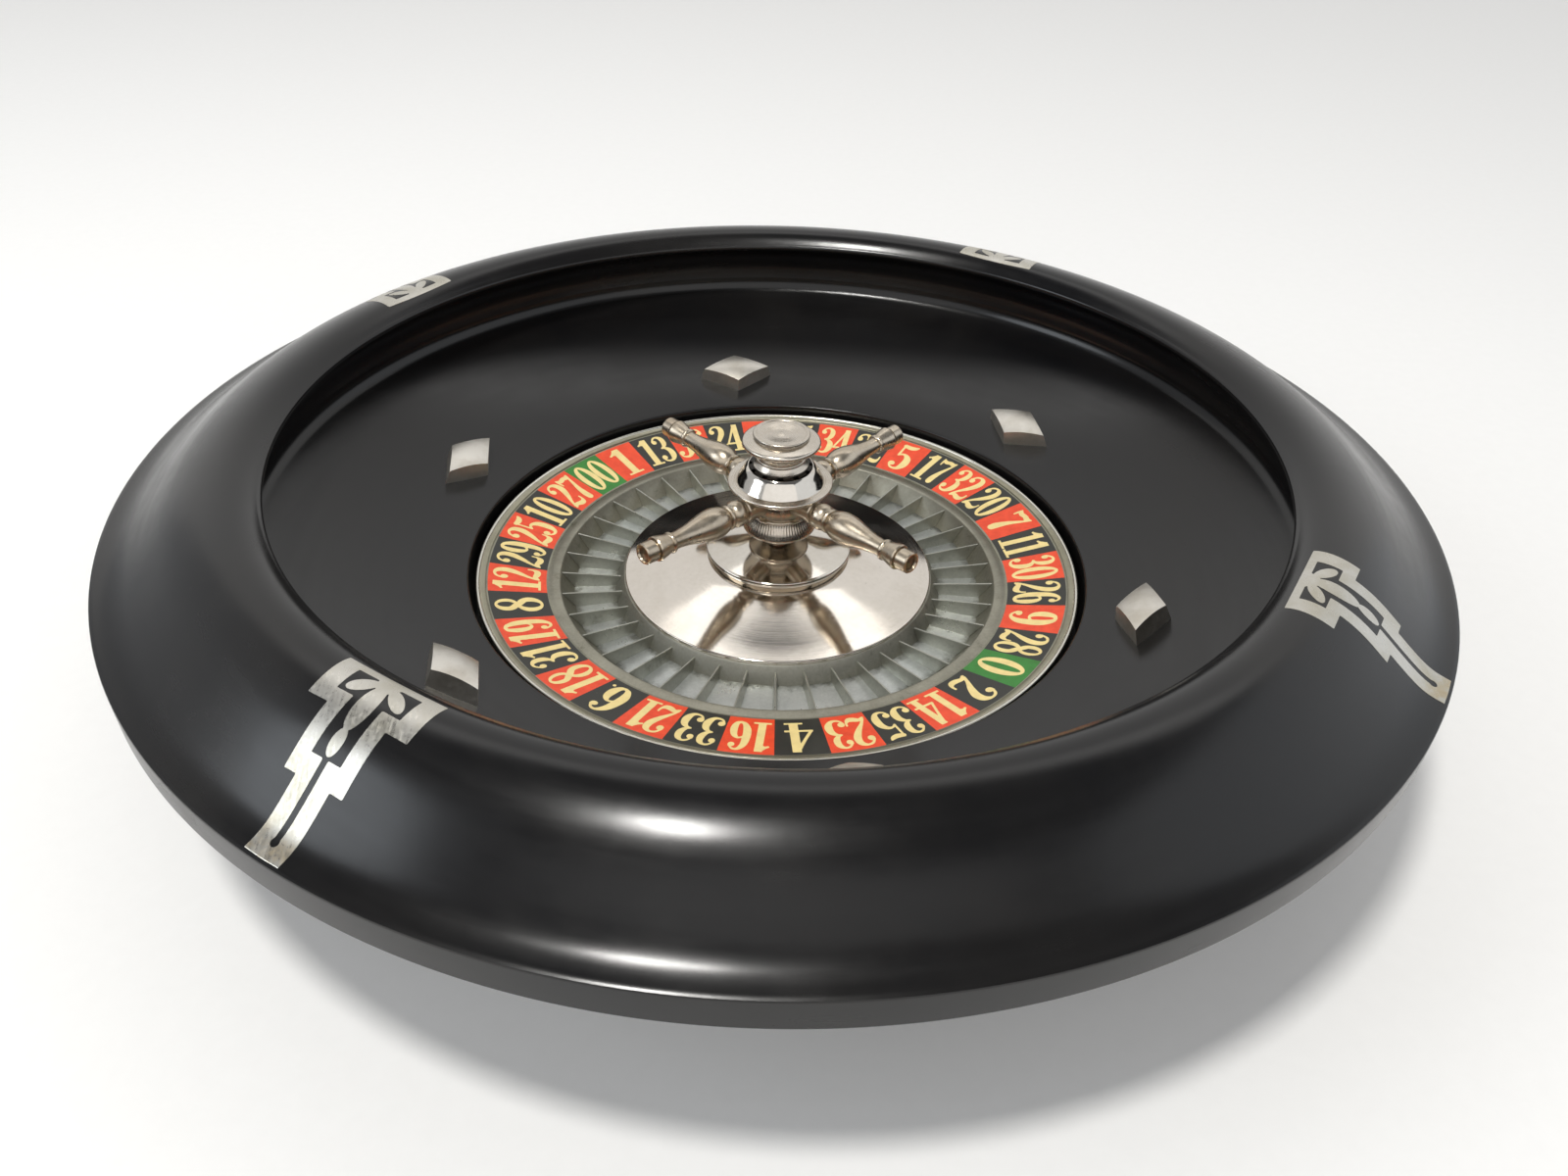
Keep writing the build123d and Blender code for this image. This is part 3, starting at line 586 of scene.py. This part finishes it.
def polygonise(field, x0, y0, h):
    """Filled region where field < 0: (points, polygons, boundary edges), marching squares."""
    ny, nx = field.shape
    pts, index, polys = [], {}, []

    def corner(i, j):
        key = (0, i, j)
        if key not in index:
            index[key] = len(pts)
            pts.append((x0 + i * h, y0 + j * h))
        return index[key]

    def cross(i, j, i2, j2):
        key = (1, min((i, j), (i2, j2)), max((i, j), (i2, j2)))
        if key not in index:
            a, b = field[j, i], field[j2, i2]
            t = min(max(a / (a - b), 0.02), 0.98)
            index[key] = len(pts)
            pts.append((x0 + (i + t * (i2 - i)) * h, y0 + (j + t * (j2 - j)) * h))
        return index[key]

    neg = field < 0
    for j in range(ny - 1):
        row = neg[j, :-1] | neg[j, 1:] | neg[j + 1, :-1] | neg[j + 1, 1:]
        for i in np.nonzero(row)[0]:
            c = [(i, j), (i + 1, j), (i + 1, j + 1), (i, j + 1)]
            poly = []
            for q in range(4):
                p, n_ = c[q], c[(q + 1) % 4]
                a, b = neg[p[1], p[0]], neg[n_[1], n_[0]]
                if a:
                    poly.append(corner(*p))
                if a != b:
                    poly.append(cross(*p, *n_))
            if len(poly) >= 3:
                polys.append(tuple(poly))
    count = {}
    for p in polys:
        for a, b in zip(p, p[1:] + p[:1]):
            count[(a, b)] = count.get((a, b), 0) + 1
    border = [e for e in count if (e[1], e[0]) not in count]
    return pts, polys, border


def slab(field, x0, y0, h, up, down):
    """Closed thin solid over the field's inside. up and down map (x, y) to 3-D."""
    pts, polys, border = polygonise(field, x0, y0, h)
    n = len(pts)
    verts = [up(*p) for p in pts] + [down(*p) for p in pts]
    faces = [p for p in polys] + [tuple(n + i for i in reversed(p)) for p in polys]
    faces += [(a, n + a, n + b, b) for a, b in border]
    return verts, faces


# inlays: x tangential, y radial, mm
H_IN = 0.22
gx, gy = np.arange(-12.6, 12.6 + H_IN, H_IN), np.arange(119.2, 152.9 + H_IN, H_IN)
GX, GY = np.meshgrid(gx, gy)
panel = np.minimum.reduce([sd_box(GX, GY, -11.65, 11.65, 120.1, 129.4), sd_box(GX, GY, -6.85, 6.85, 129.0, 139.9),
                           sd_box(GX, GY, -4.0, 4.0, 139.0, 152.45)])
window = np.minimum.reduce([sd_box(GX, GY, -7.45, 7.45, 121.7, 126.7), sd_box(GX, GY, -3.45, 3.45, 126.0, 136.6),
                            sd_box(GX, GY, -0.65, 0.65, 136.0, 148.8), sd_ell(GX, GY, 0, 148.7, 0.85, 0.85)])
plant = np.minimum.reduce([sd_ell(GX, GY, 0, 127.2, 1.95, 4.75), sd_ell(GX, GY, 0, 133.9, 1.3, 2.3),
                           sd_ell(GX, GY, 3.95, 124.1, 2.95, 1.3, math.radians(34)),
                           sd_ell(GX, GY, -3.95, 124.1, 2.95, 1.3, math.radians(-34)),
                           sd_poly(GX, GY, [(-3.0, 121.2), (3.0, 121.2), (1.5, 123.6), (-1.5, 123.6)])])
motif = np.minimum(np.maximum(panel, -window), np.maximum(panel, plant))


def inlay_surface(a0, lift):
    c, s = math.cos(a0), math.sin(a0)

    def f(x, y):
        r = math.hypot(x, y)
        z = rim_z(min(r, R_BOWL - 0.3)) + lift
        if r > R_BOWL - 0.7:
            # the end is turned down over the edge
            over = r - (R_BOWL - 0.7)
            z -= over * 1.9
            r = R_BOWL - 0.7 + over * 0.62 + (0.10 if lift > 0 else -0.25)
            k = r / math.hypot(x, y)
            x, y = x * k, y * k
        # local y runs along the radius, local x to the right when seen from the axis
        return ((y * c + x * s) * MM, (y * s - x * c) * MM, (z + ZR) * MM)
    return f


for k in range(4):
    a0 = math.radians(-31.9 - 90 + 90 * k)
    v, f = slab(motif, gx[0], gy[0], H_IN, inlay_surface(a0, 0.06), inlay_surface(a0, -0.45))
    put_mesh("inlay_%d" % (k + 1), v, f, M_INLAY, "bowl", slot="white_metal_inlay",
             replaces=("palm_inlay_%d" % (k + 1),), sharp=50)

# ---------------------------------------------------------------------------
# number ring
# ---------------------------------------------------------------------------
SEQ = [11, 7, 20, 32, 17, 5, 22, 34, 15, 3, 24, 36, 13, 1, "00", 27, 10, 25, 29, 12, 8, 19, 31, 18, 6, 21, 33, 16,
       4, 23, 35, 14, 2, 0, 28, 9, 26, 30]
RED = {1, 3, 5, 7, 9, 12, 14, 16, 18, 19, 21, 23, 25, 27, 30, 32, 34, 36}
A0 = math.radians(5.02)
STEP = 2 * math.pi / 38


def plate_z(r):
    return -0.9 + (r - 73.7) * (3.05 / 15.1)


SUB = 14
ring_pts = [(58.6, plate_z(58.6) - 0.5), (73.7, plate_z(73.7) - 0.5)] + [
    (r, plate_z(r)) for r in (73.7, 73.25, 66.0, 59.1, 58.6)]
v, f = lathe_data(ring_pts, 38 * SUB, phase=A0)
mi = []
NP = len(ring_pts)
for q, face in enumerate(f):
    i, kseg = divmod(q, 38 * SUB)
    num = SEQ[kseg // SUB]
    if i in (3, 4):
        mi.append(2 if num in ("00", 0) else (0 if num in RED else 1))
    else:
        mi.append(4)


def stroke_digits():
    """Fields of the ten digits in a box one unit high, centred on x = 0."""
    h = 0.0135
    xs, ys = np.arange(-0.36, 0.36 + h, h), np.arange(-0.06, 1.06 + h, h)
    X, Y = np.meshgrid(xs, ys)
    D = {}
    D["0"] = np.maximum(sd_ell(X, Y, 0, 0.5, 0.245, 0.5), -sd_ell(X, Y, 0, 0.5, 0.085, 0.43))
    D["1"] = np.minimum.reduce([
        sd_box(X, Y, -0.085, 0.085, 0.0, 1.0), sd_box(X, Y, -0.19, 0.19, 0.0, 0.055),
        sd_poly(X, Y, [(-0.19, 0.84), (-0.085, 0.80), (-0.02, 0.98), (-0.06, 1.0)]),
        sd_poly(X, Y, [(-0.23, 0.83), (-0.20, 0.79), (-0.085, 0.84), (-0.085, 0.93)])])
    D["2"] = np.minimum.reduce([
        sd_ell(X, Y, -0.150, 0.765, 0.078, 0.078),
        sd_stroke(X, Y, [(-0.205, 0.80, 0.026), (-0.13, 0.93, 0.030), (0.0, 0.968, 0.034), (0.115, 0.88, 0.072),
                         (0.125, 0.70, 0.084), (0.03, 0.48, 0.066), (-0.10, 0.27, 0.038), (-0.185, 0.10, 0.028)]),
        sd_stroke(X, Y, [(-0.19, 0.05, 0.030), (-0.10, 0.115, 0.052), (0.03, 0.075, 0.070), (0.125, 0.075, 0.064),
                         (0.195, 0.155, 0.030), (0.21, 0.26, 0.022)])])
    D["3"] = np.minimum.reduce([
        sd_ell(X, Y, -0.140, 0.80, 0.072, 0.072), sd_ell(X, Y, -0.150, 0.195, 0.078, 0.078),
        sd_stroke(X, Y, [(-0.19, 0.84, 0.024), (-0.10, 0.95, 0.028), (0.01, 0.965, 0.034), (0.10, 0.87, 0.068),
                         (0.105, 0.70, 0.074), (0.03, 0.57, 0.042), (-0.05, 0.535, 0.026)]),
        sd_stroke(X, Y, [(-0.05, 0.535, 0.026), (0.04, 0.51, 0.040), (0.13, 0.40, 0.076), (0.135, 0.22, 0.086),
                         (0.06, 0.07, 0.050), (-0.05, 0.034, 0.032), (-0.15, 0.075, 0.026), (-0.205, 0.17, 0.022)])])
    D["4"] = np.minimum.reduce([
        sd_box(X, Y, 0.0, 0.155, 0.0, 1.0), sd_box(X, Y, -0.245, 0.245, 0.255, 0.315),
        sd_box(X, Y, -0.085, 0.235, 0.0, 0.052),
        sd_stroke(X, Y, [(0.055, 0.965, 0.034), (-0.075, 0.62, 0.030), (-0.215, 0.285, 0.028)]),
        sd_poly(X, Y, [(-0.02, 0.80), (0.05, 0.80), (0.155, 1.0), (0.05, 1.0)])])
    D["5"] = np.minimum.reduce([
        sd_ell(X, Y, -0.145, 0.195, 0.076, 0.076),
        sd_stroke(X, Y, [(-0.135, 0.96, 0.024), (-0.138, 0.75, 0.025), (-0.142, 0.545, 0.026)]),
        sd_stroke(X, Y, [(-0.13, 0.925, 0.055), (0.0, 0.905, 0.068), (0.11, 0.930, 0.056), (0.175, 0.985, 0.022)]),
        sd_stroke(X, Y, [(-0.145, 0.54, 0.024), (-0.06, 0.605, 0.030), (0.04, 0.585, 0.050), (0.125, 0.46, 0.082),
                         (0.13, 0.25, 0.088), (0.06, 0.08, 0.052), (-0.05, 0.034, 0.032), (-0.145, 0.075, 0.026),
                         (-0.20, 0.17, 0.022)])])
    six = np.minimum.reduce([
        sd_ell(X, Y, 0.135, 0.815, 0.070, 0.070),
        sd_stroke(X, Y, [(0.185, 0.85, 0.022), (0.10, 0.955, 0.028), (-0.01, 0.95, 0.040), (-0.11, 0.80, 0.072),
                         (-0.145, 0.55, 0.088), (-0.14, 0.30, 0.086), (-0.075, 0.10, 0.056), (0.01, 0.032, 0.032)]),
        sd_stroke(X, Y, [(0.01, 0.032, 0.032), (0.10, 0.09, 0.055), (0.142, 0.27, 0.080), (0.12, 0.47, 0.066),
                         (0.04, 0.575, 0.034), (-0.05, 0.55, 0.026), (-0.12, 0.45, 0.024)])])
    D["6"] = six
    D["9"] = six[::-1, ::-1].copy()
    D["7"] = np.minimum.reduce([
        sd_stroke(X, Y, [(-0.195, 0.965, 0.024), (-0.11, 0.90, 0.060), (0.02, 0.925, 0.060), (0.13, 0.905, 0.062),
                         (0.20, 0.965, 0.024)]),
        sd_stroke(X, Y, [(-0.205, 0.985, 0.018), (-0.20, 0.86, 0.028), (-0.195, 0.76, 0.020)]),
        sd_stroke(X, Y, [(0.195, 0.945, 0.026), (0.115, 0.72, 0.038), (0.02, 0.46, 0.062), (-0.03, 0.22, 0.088),
                         (-0.035, 0.085, 0.086)])])
    D["8"] = np.minimum.reduce([
        np.maximum(sd_ell(X, Y, 0.0, 0.755, 0.195, 0.245), -sd_ell(X, Y, 0.015, 0.765, 0.085, 0.175)),
        np.maximum(sd_ell(X, Y, 0.0, 0.275, 0.230, 0.275), -sd_ell(X, Y, -0.005, 0.265, 0.098, 0.205)),
        sd_stroke(X, Y, [(-0.12, 0.68, 0.055), (0.0, 0.53, 0.072), (0.13, 0.38, 0.058)])])
    return D, xs[0], ys[0], h


DIG, dx0, dy0, dh = stroke_digits()
WIDTH = {"1": 0.41, "0": 0.50}
dv, df = [], []
for k in range(38):
    txt = str(SEQ[k])
    mid = A0 + (k + 0.5) * STEP
    high = 11.6
    sx = 1.10 if len(txt) == 1 else 0.885
    gaps = [WIDTH.get(c, 0.47) * sx for c in txt]
    total = sum(gaps)
    x = -total / 2
    c, s = math.cos(mid), math.sin(mid)
    jig = rng.normal(0, 0.10, 2)
    for ch, g in zip(txt, gaps):
        cx = (x + g / 2) * high
        x += g

        def place(lift, cx=cx):
            def f(u, w):
                X = cx + u * high * sx + jig[0]
                R = 60.45 + w * high + jig[1]
                px, py = R * c + X * s, R * s - X * c
                return (px * MM, py * MM, (plate_z(math.hypot(px, py)) + lift + ZR) * MM)
            return f
        vv, ff = slab(DIG[ch], dx0, dy0, dh, place(0.035), place(-0.12))
        off = len(dv)
        dv += vv
        df += [tuple(off + i for i in p) for p in ff]
    if txt == "6":
        # a dot marks which way up
        n = 14
        off = len(dv)
        for lift in (0.035, -0.12):
            for q in range(n):
                X = total / 2 * high * 1.08 + 0.42 * math.cos(2 * math.pi * q / n)
                R = 60.45 + 0.9 + 0.42 * math.sin(2 * math.pi * q / n)
                px, py = R * c + X * s, R * s - X * c
                dv.append((px * MM, py * MM, (plate_z(math.hypot(px, py)) + lift + ZR) * MM))
        df.append(tuple(off + q for q in range(n)))
        df.append(tuple(off + n + q for q in reversed(range(n))))
        df += [(off + q, off + n + q, off + n + (q + 1) % n, off + (q + 1) % n) for q in range(n)]

ring = put_mesh("number_plate", v, f, [M_RED, M_BLACK, M_GREEN, M_CREAM, M_PLATE], "wheel_head", slot="number_print",
                replaces=("number_ring",), sharp=30)
ring.data.polygons.foreach_set("material_index", mi)
put_mesh("number_digits", dv, df, M_CREAM, "wheel_head", slot="number_print", sharp=40)

# ---------------------------------------------------------------------------
# wheel head
# ---------------------------------------------------------------------------
bezel_pts = profile(
    (73.7, -1.4), ("l", (73.7, -0.62)), ("l", (73.9, -0.45)), ("l", (74.95, -0.28)), ("l", (75.1, -0.5)),
    ("a", (75.68, 0.0), (76.2, -0.55)), ("l", (76.2, -3.7)), ("l", (75.9, -4.0)), ("l", (75.0, -4.0)),
    ("l", (75.0, -1.4)), arc_n=10)
bez = lathe("bezel_ring", bezel_pts, [M_BEZEL, M_BEZFLAT], "wheel_head", seg=540, slot="satin_nickel", replaces=("outer_bezel",), sharp=40)
# the flat inner band, inside r = 75 mm, takes the darker olive nickel
for p in bez.data.polygons:
    if math.hypot(p.center.x, p.center.y) / MM < 75.0:
        p.material_index = 1

carrier_pts = profile(
    (52.4, -8.8), ("l", (55.5, -4.4)), ("a", (55.72, -4.07), (56.05, -3.95)), ("l", (57.9, -3.95)),
    ("l", (58.25, -4.15)), ("l", (58.6, -4.15)),
    ("l", (58.6, -4.45)), ("l", (73.7, -1.4)), ("l", (75.0, -1.4)), ("l", (75.0, -3.8)), ("l", (73.0, -4.3)),
    ("l", (60.5, -7.0)), ("l", (57.0, -8.8)))
lathe("carrier_ring", carrier_pts, M_BAND, "wheel_head", seg=540, slot="grey_casting", replaces=("number_carrier",), sharp=40)
inner_pts = [(37.0, -8.8), (42.0, -8.8), (39.95, -5.0), (39.6, -4.65), (37.0, -4.65)]
lathe("inner_wall_ring", inner_pts, M_CAST, "wheel_head", seg=360, slot="grey_casting", replaces=("pocket_inner_ring",))

fv, ff = [], []
for k in range(38):
    a = A0 + k * STEP
    c, s = math.cos(a), math.sin(a)
    prof_f = [(40.42, -5.95, 0.22), (47.9, -5.24, 0.22), (55.42, -4.47, 0.22), (52.35, -8.85, 0.52), (41.95, -8.85, 0.52)]
    off = len(fv)
    for side in (1, -1):
        for r, z, w in prof_f:
            fv.append(((r * c - side * w * s) * MM, (r * s + side * w * c) * MM, (z + ZR) * MM))
    # a blade, thinner along its top edge than at its foot; the bevel below rounds it
    ff.append((off, off + 1, off + 2, off + 3, off + 4))
    ff.append((off + 9, off + 8, off + 7, off + 6, off + 5))
    for i in range(5):
        j = (i + 1) % 5
        ff.append((off + i, off + 5 + i, off + 5 + j, off + j))
frets = put_mesh("fret_blades", fv, ff, M_FRET, "wheel_head", slot="grey_casting", replaces=("pocket_frets",), smooth=False)
bev = frets.modifiers.new("round", "BEVEL")
bev.width, bev.segments, bev.limit_method = 0.00012, 2, "ANGLE"

cone_pts = profile(
    (39.35, -4.65), ("l", (39.35, -4.15)), ("a", (39.25, -3.87), (39.0, -3.75)), ("l", (34.0, -2.5)), ("l", (28.0, -1.0)),
    ("l", (22.0, 0.5)), ("l", (17.6, 1.6)), ("l", (3.6, 1.6)), ("l", (3.6, 0.8)), ("l", (17.3, 0.8)), ("l", (38.2, -4.65)))
lathe("cone_shell", cone_pts, M_CONE, "wheel_head", seg=360, slot="polished_nickel", replaces=("center_cone",), sharp=35)

base_pts = profile(
    (3.6, 1.6), ("l", (17.5, 1.6)), ("l", (17.5, 2.45)), ("l", (18.1, 2.45)),
    ("a", (18.38, 2.58), (18.48, 2.85)), ("l", (18.48, 3.1)), ("a", (18.36, 3.4), (18.05, 3.5)),
    ("s", [(14.0, 4.42), (9.5, 5.42), (5.7, 6.5)]), ("l", (3.6, 6.5)), step=0.35)
lathe("turret_skirt", base_pts, M_MIRROR, "wheel_head", seg=256, slot="polished_nickel", replaces=("turret_base",))
col_pts = profile(
    (3.6, 6.5), ("l", (5.2, 6.5)), ("a", (5.42, 6.75), (5.15, 7.0)), ("l", (4.5, 7.1)),
    ("s", [(4.3, 7.6), (4.35, 8.2), (4.7, 8.8)]), ("l", (3.6, 8.8)), step=0.2)
lathe("turret_neck", col_pts, M_MIRROR, "wheel_head", seg=192, slot="polished_nickel", replaces=("turret_column",))


def reeds(r, z, a):
    if 9.6 < z < 13.1 and r > 7.0:
        w = math.sin((z - 9.6) / 3.5 * math.pi) ** 0.5
        return r - 0.10 * w * (0.5 + 0.5 * math.cos(72 * a))
    return r


drum_pts = profile(
    (3.6, 8.8), ("l", (8.5, 8.8)), ("a", (9.0, 8.98), (9.15, 9.4)),
    ("s", [(8.6, 10.9), (7.9, 12.2), (7.4, 13.2)]), ("a", (7.85, 13.65), (7.45, 14.15)),
    ("l", (7.2, 14.35)), ("l", (7.2, 17.2)), ("l", (7.12, 17.35)), ("l", (7.12, 17.6)), ("l", (7.2, 17.75)),
    ("l", (7.2, 21.2)), ("l", (3.6, 21.2)), step=0.3)
lathe("turret_drum_body", drum_pts, M_DRUM, "wheel_head", seg=576, slot="aged_nickel", replaces=("turret_drum",), wobble=reeds)
cap_pts = profile(
    (3.6, 21.2), ("l", (12.5, 21.2)), ("a", (12.88, 21.35), (13.0, 21.7)), ("a", (12.9, 22.05), (12.6, 22.2)),
    ("l", (11.3, 22.4)), ("l", (11.1, 22.25)), ("l", (10.9, 22.25)), ("l", (10.75, 22.45)),
    ("s", [(10.1, 23.5), (9.3, 24.75), (8.55, 25.8), (8.1, 26.2)]),
    ("l", (7.9, 26.2)), ("l", (7.82, 25.6)), ("l", (3.6, 25.6)), step=0.2)
cap = lathe("turret_dome", cap_pts, [M_MIRROR, M_SHADE_WELL, M_FINIAL], "wheel_head", seg=288, slot="polished_nickel", replaces=("turret_cap",))
for p in cap.data.polygons:
    c = p.center
    r, z = math.hypot(c.x, c.y) / MM, c.z / MM - ZR
    # the recess under the finial gets the near-black painted shade
    if r < 7.97 and z > 25.5:
        p.material_index = 1
    elif r > 10.85:
        p.material_index = 2

finial_pts = profile(
    (0.0, 20.05), ("l", (2.45, 20.05)), ("l", (2.45, 26.6)), ("l", (6.75, 26.6)), ("l", (6.75, 26.85)),
    ("s", [(6.25, 27.4), (5.85, 28.0)]), ("l", (6.05, 28.2)), ("a", (6.2, 28.5), (6.05, 28.85)),
    ("l", (5.8, 29.0)), ("s", [(6.05, 30.3), (7.2, 31.4), (8.75, 31.95)]),
    ("a", (9.62, 32.75), (8.8, 33.5)), ("l", (7.1, 34.05)), ("l", (6.65, 34.15)),
    ("l", (6.65, 34.4)), ("l", (6.95, 34.55)), ("l", (6.95, 34.95)),
    ("a", (6.85, 35.2), (6.6, 35.3)), ("l", (6.1, 35.3)), ("l", (5.95, 35.15)),
    ("l", (4.4, 35.08)), ("l", (4.3, 35.02)), ("l", (2.6, 34.94)), ("l", (2.5, 34.88)),
    ("l", (1.2, 34.85)), ("l", (0.9, 35.0)), ("l", (0.25, 35.08)), ("l", (0.0, 34.9)), step=0.3)
lathe("finial_knob", finial_pts, M_FINIAL, "wheel_head", seg=256, slot="polished_nickel", replaces=("finial",), sharp=30)

# ---------------------------------------------------------------------------
# handles
# ---------------------------------------------------------------------------
h_pts = profile(
    (6.0, 0.0), ("l", (6.0, 2.95)), ("l", (12.2, 2.95)), ("l", (12.5, 2.7)), ("l", (12.6, 2.3)),
    ("l", (12.9, 2.3)), ("s", [(13.4, 2.95), (14.9, 3.3), (16.3, 2.9), (16.9, 2.3)]),
    ("l", (17.1, 2.3)), ("a", (17.55, 3.1), (18.0, 2.5)),
    ("s", [(18.6, 2.95), (20.2, 3.6), (22.4, 3.85), (25.0, 3.55), (28.5, 2.75), (32.0, 2.15), (34.6, 2.0)]),
    ("a", (35.2, 2.6), (35.8, 2.25)), ("s", [(36.4, 2.4), (38.2, 2.85), (39.5, 3.1)]),
    ("l", (39.85, 2.9)), ("l", (39.9, 2.25)), ("l", (40.3, 2.25)), ("l", (40.35, 2.6)),
    ("l", (43.0, 2.6)), ("l", (43.3, 2.35)), ("l", (43.3, 2.0)), ("l", (42.8, 1.8)),
    ("l", (42.75, 0.5)), ("l", (42.95, 0.0)), step=0.3)
tilt = math.atan((19.3 - 17.9) / (43.3 - 8.0))
z0 = 17.9 - math.tan(tilt) * 8.0
for k in range(4):
    az = math.radians(44.6 + 90 * k)
    turn = np.array(Matrix.Rotation(az, 3, "Z") @ Matrix.Rotation(-tilt, 3, "Y"))

    def place(v, turn=turn):
        # lathe axis z becomes the handle's length
        w = np.stack([v[:, 2], v[:, 0], v[:, 1]], 1)
        return w @ turn.T + np.array([0, 0, ZR + z0])
    ob = lathe("spoke_%d" % (k + 1), [(r, x) for x, r in h_pts], [M_HANDLE, M_HANDLE_END_SHADE], "wheel_head", seg=96, place=place,
               slot="aged_brass", replaces=("handle_%d" % (k + 1),), sharp=28)
    axis = Vector(turn @ np.array([1.0, 0, 0]))
    # the flat end faces take the darker nickel, painted shade
    for p in ob.data.polygons:
        if (p.center - Vector((0, 0, (ZR + z0) * MM))).dot(axis) > 42.6 * MM and \
                abs(p.normal.dot(axis)) > 0.5 and ((p.center - Vector((0, 0, (ZR + z0) * MM))) - axis * (p.center - Vector((0, 0, (ZR + z0) * MM))).dot(axis)).length < 1.85 * MM:
            p.material_index = 1

# ---------------------------------------------------------------------------
# materials of the CAD nodes that stay
# ---------------------------------------------------------------------------
STAY = {
    "base_disc": M_BASE, "pedestal_ring": M_BASE, "felt_pad": M_FELT, "rotor_disc": M_FLOOR, "hub_spacer": M_CAST,
    # the lock nut gets the same near-black painted shade
    "lock_nut": M_SHADE_WELL, "lower_bush": M_BRONZE, "upper_bush": M_BRONZE,
}
for i in range(6):
    STAY["deflector_%d" % (i + 1)] = M_DEFL
for name, ob in NODES.items():
    m = STAY.get(name, M_STEEL)
    ob.data.materials.clear()
    ob.data.materials.append(m)

# ---------------------------------------------------------------------------
# camera, floor and light
# ---------------------------------------------------------------------------
F, PITCH, YAW, ROLL = 1232.27, 0.62788, -0.00696, 0.03301
cp, sp, cy, sy, cr, sr = (math.cos(PITCH), math.sin(PITCH), math.cos(YAW), math.sin(YAW), math.cos(ROLL), math.sin(ROLL))
yaw = Matrix(((cy, -sy, 0), (sy, cy, 0), (0, 0, 1)))
base = Matrix(((1, 0, 0), (0, sp, -cp), (0, cp, sp)))
rz = Matrix(((cr, -sr, 0), (sr, cr, 0), (0, 0, 1)))
cam_data = bpy.data.cameras.new("camera")
cam_data.sensor_width = 36.0
cam_data.sensor_fit = "HORIZONTAL"
cam_data.lens = 36.0 * F / 1600.0
cam_data.clip_start, cam_data.clip_end = 0.01, 50.0
cam = bpy.data.objects.new("camera", cam_data)
cam.matrix_world = Matrix.Translation((0.0, -0.25680, 0.17544 + ZR * MM)) @ (yaw @ base @ rz).to_4x4()
bpy.context.scene.collection.objects.link(cam)
bpy.context.scene.camera = cam


def plain(name, col, rough=0.8):
    k = Mat(name).set(Metallic=0.0, Roughness=rough)
    n = k.noise(240, 4, 0.6)
    k.color(k.mix(k.ramp(n, [(0.3, 0.0), (0.7, 1.0)]), col, tuple(x * 0.985 for x in col)))
    return k.m


# one large plain floor
me = bpy.data.meshes.new("floor")
me.from_pydata([(-6.0, -6.0, 0.0), (6.0, -6.0, 0.0), (6.0, 6.0, 0.0), (-6.0, 6.0, 0.0)], [], [(0, 1, 2, 3)])
me.materials.append(plain("floor_white", (0.90, 0.893, 0.88)))
floor = bpy.data.objects.new("floor", me)
bpy.context.scene.collection.objects.link(floor)

world = bpy.data.worlds.new("world")
world.use_nodes = True
world.node_tree.nodes["Background"].inputs[0].default_value = (0.94, 0.96, 1.0, 1.0)
world.node_tree.nodes["Background"].inputs[1].default_value = 0.14
bpy.context.scene.world = world


def area(name, loc, target, size, power, col=(1, 1, 1), size_y=None, seen=True):
    d = bpy.data.lights.new(name, "AREA")
    d.shape = "DISK" if size_y is None else "RECTANGLE"
    d.size, d.energy, d.color = size, power, col
    if size_y is not None:
        d.size_y = size_y
    o = bpy.data.objects.new(name, d)
    o.location = loc
    o.rotation_mode = "QUATERNION"
    o.rotation_quaternion = (Vector(target) - Vector(loc)).to_track_quat("-Z", "Y")
    o.visible_camera = False
    bpy.context.scene.collection.objects.link(o)
    return o


area("lamp", (-0.21, -0.33, 1.14), (0, 0, 0), 0.17, 8.0, (1.0, 0.985, 0.95))
area("back_panel", (0.0, 1.8, 1.80), (0, 0, 1.80), 4.8, 39.0, (1.0, 0.985, 0.96), size_y=3.6)
area("back_high", (0.0, 1.0, 1.76), (0, 0, 0.1), 2.8, 3.3, (1.0, 0.985, 0.96), size_y=0.44)
area("window", (-1.5, -0.45, 0.9), (0, 0, 0), 0.9, 6.0, (0.88, 0.94, 1.0))
area("left_panel", (-2.4, -0.2, 1.3), (0, -0.2, 1.3), 4.0, 13.0, (0.96, 0.98, 1.0), size_y=2.6)
area("right_panel", (2.4, -0.2, 1.3), (0, -0.2, 1.3), 4.0, 26.0, (0.94, 0.97, 1.0), size_y=2.6)
area("front_panel", (0.0, -2.2, 1.65), (0, 0, 1.65), 4.8, 46.0, (1.0, 0.99, 0.98), size_y=3.1)

bpy.context.scene.view_settings.view_transform = "Standard"
bpy.context.scene.view_settings.look = "None"
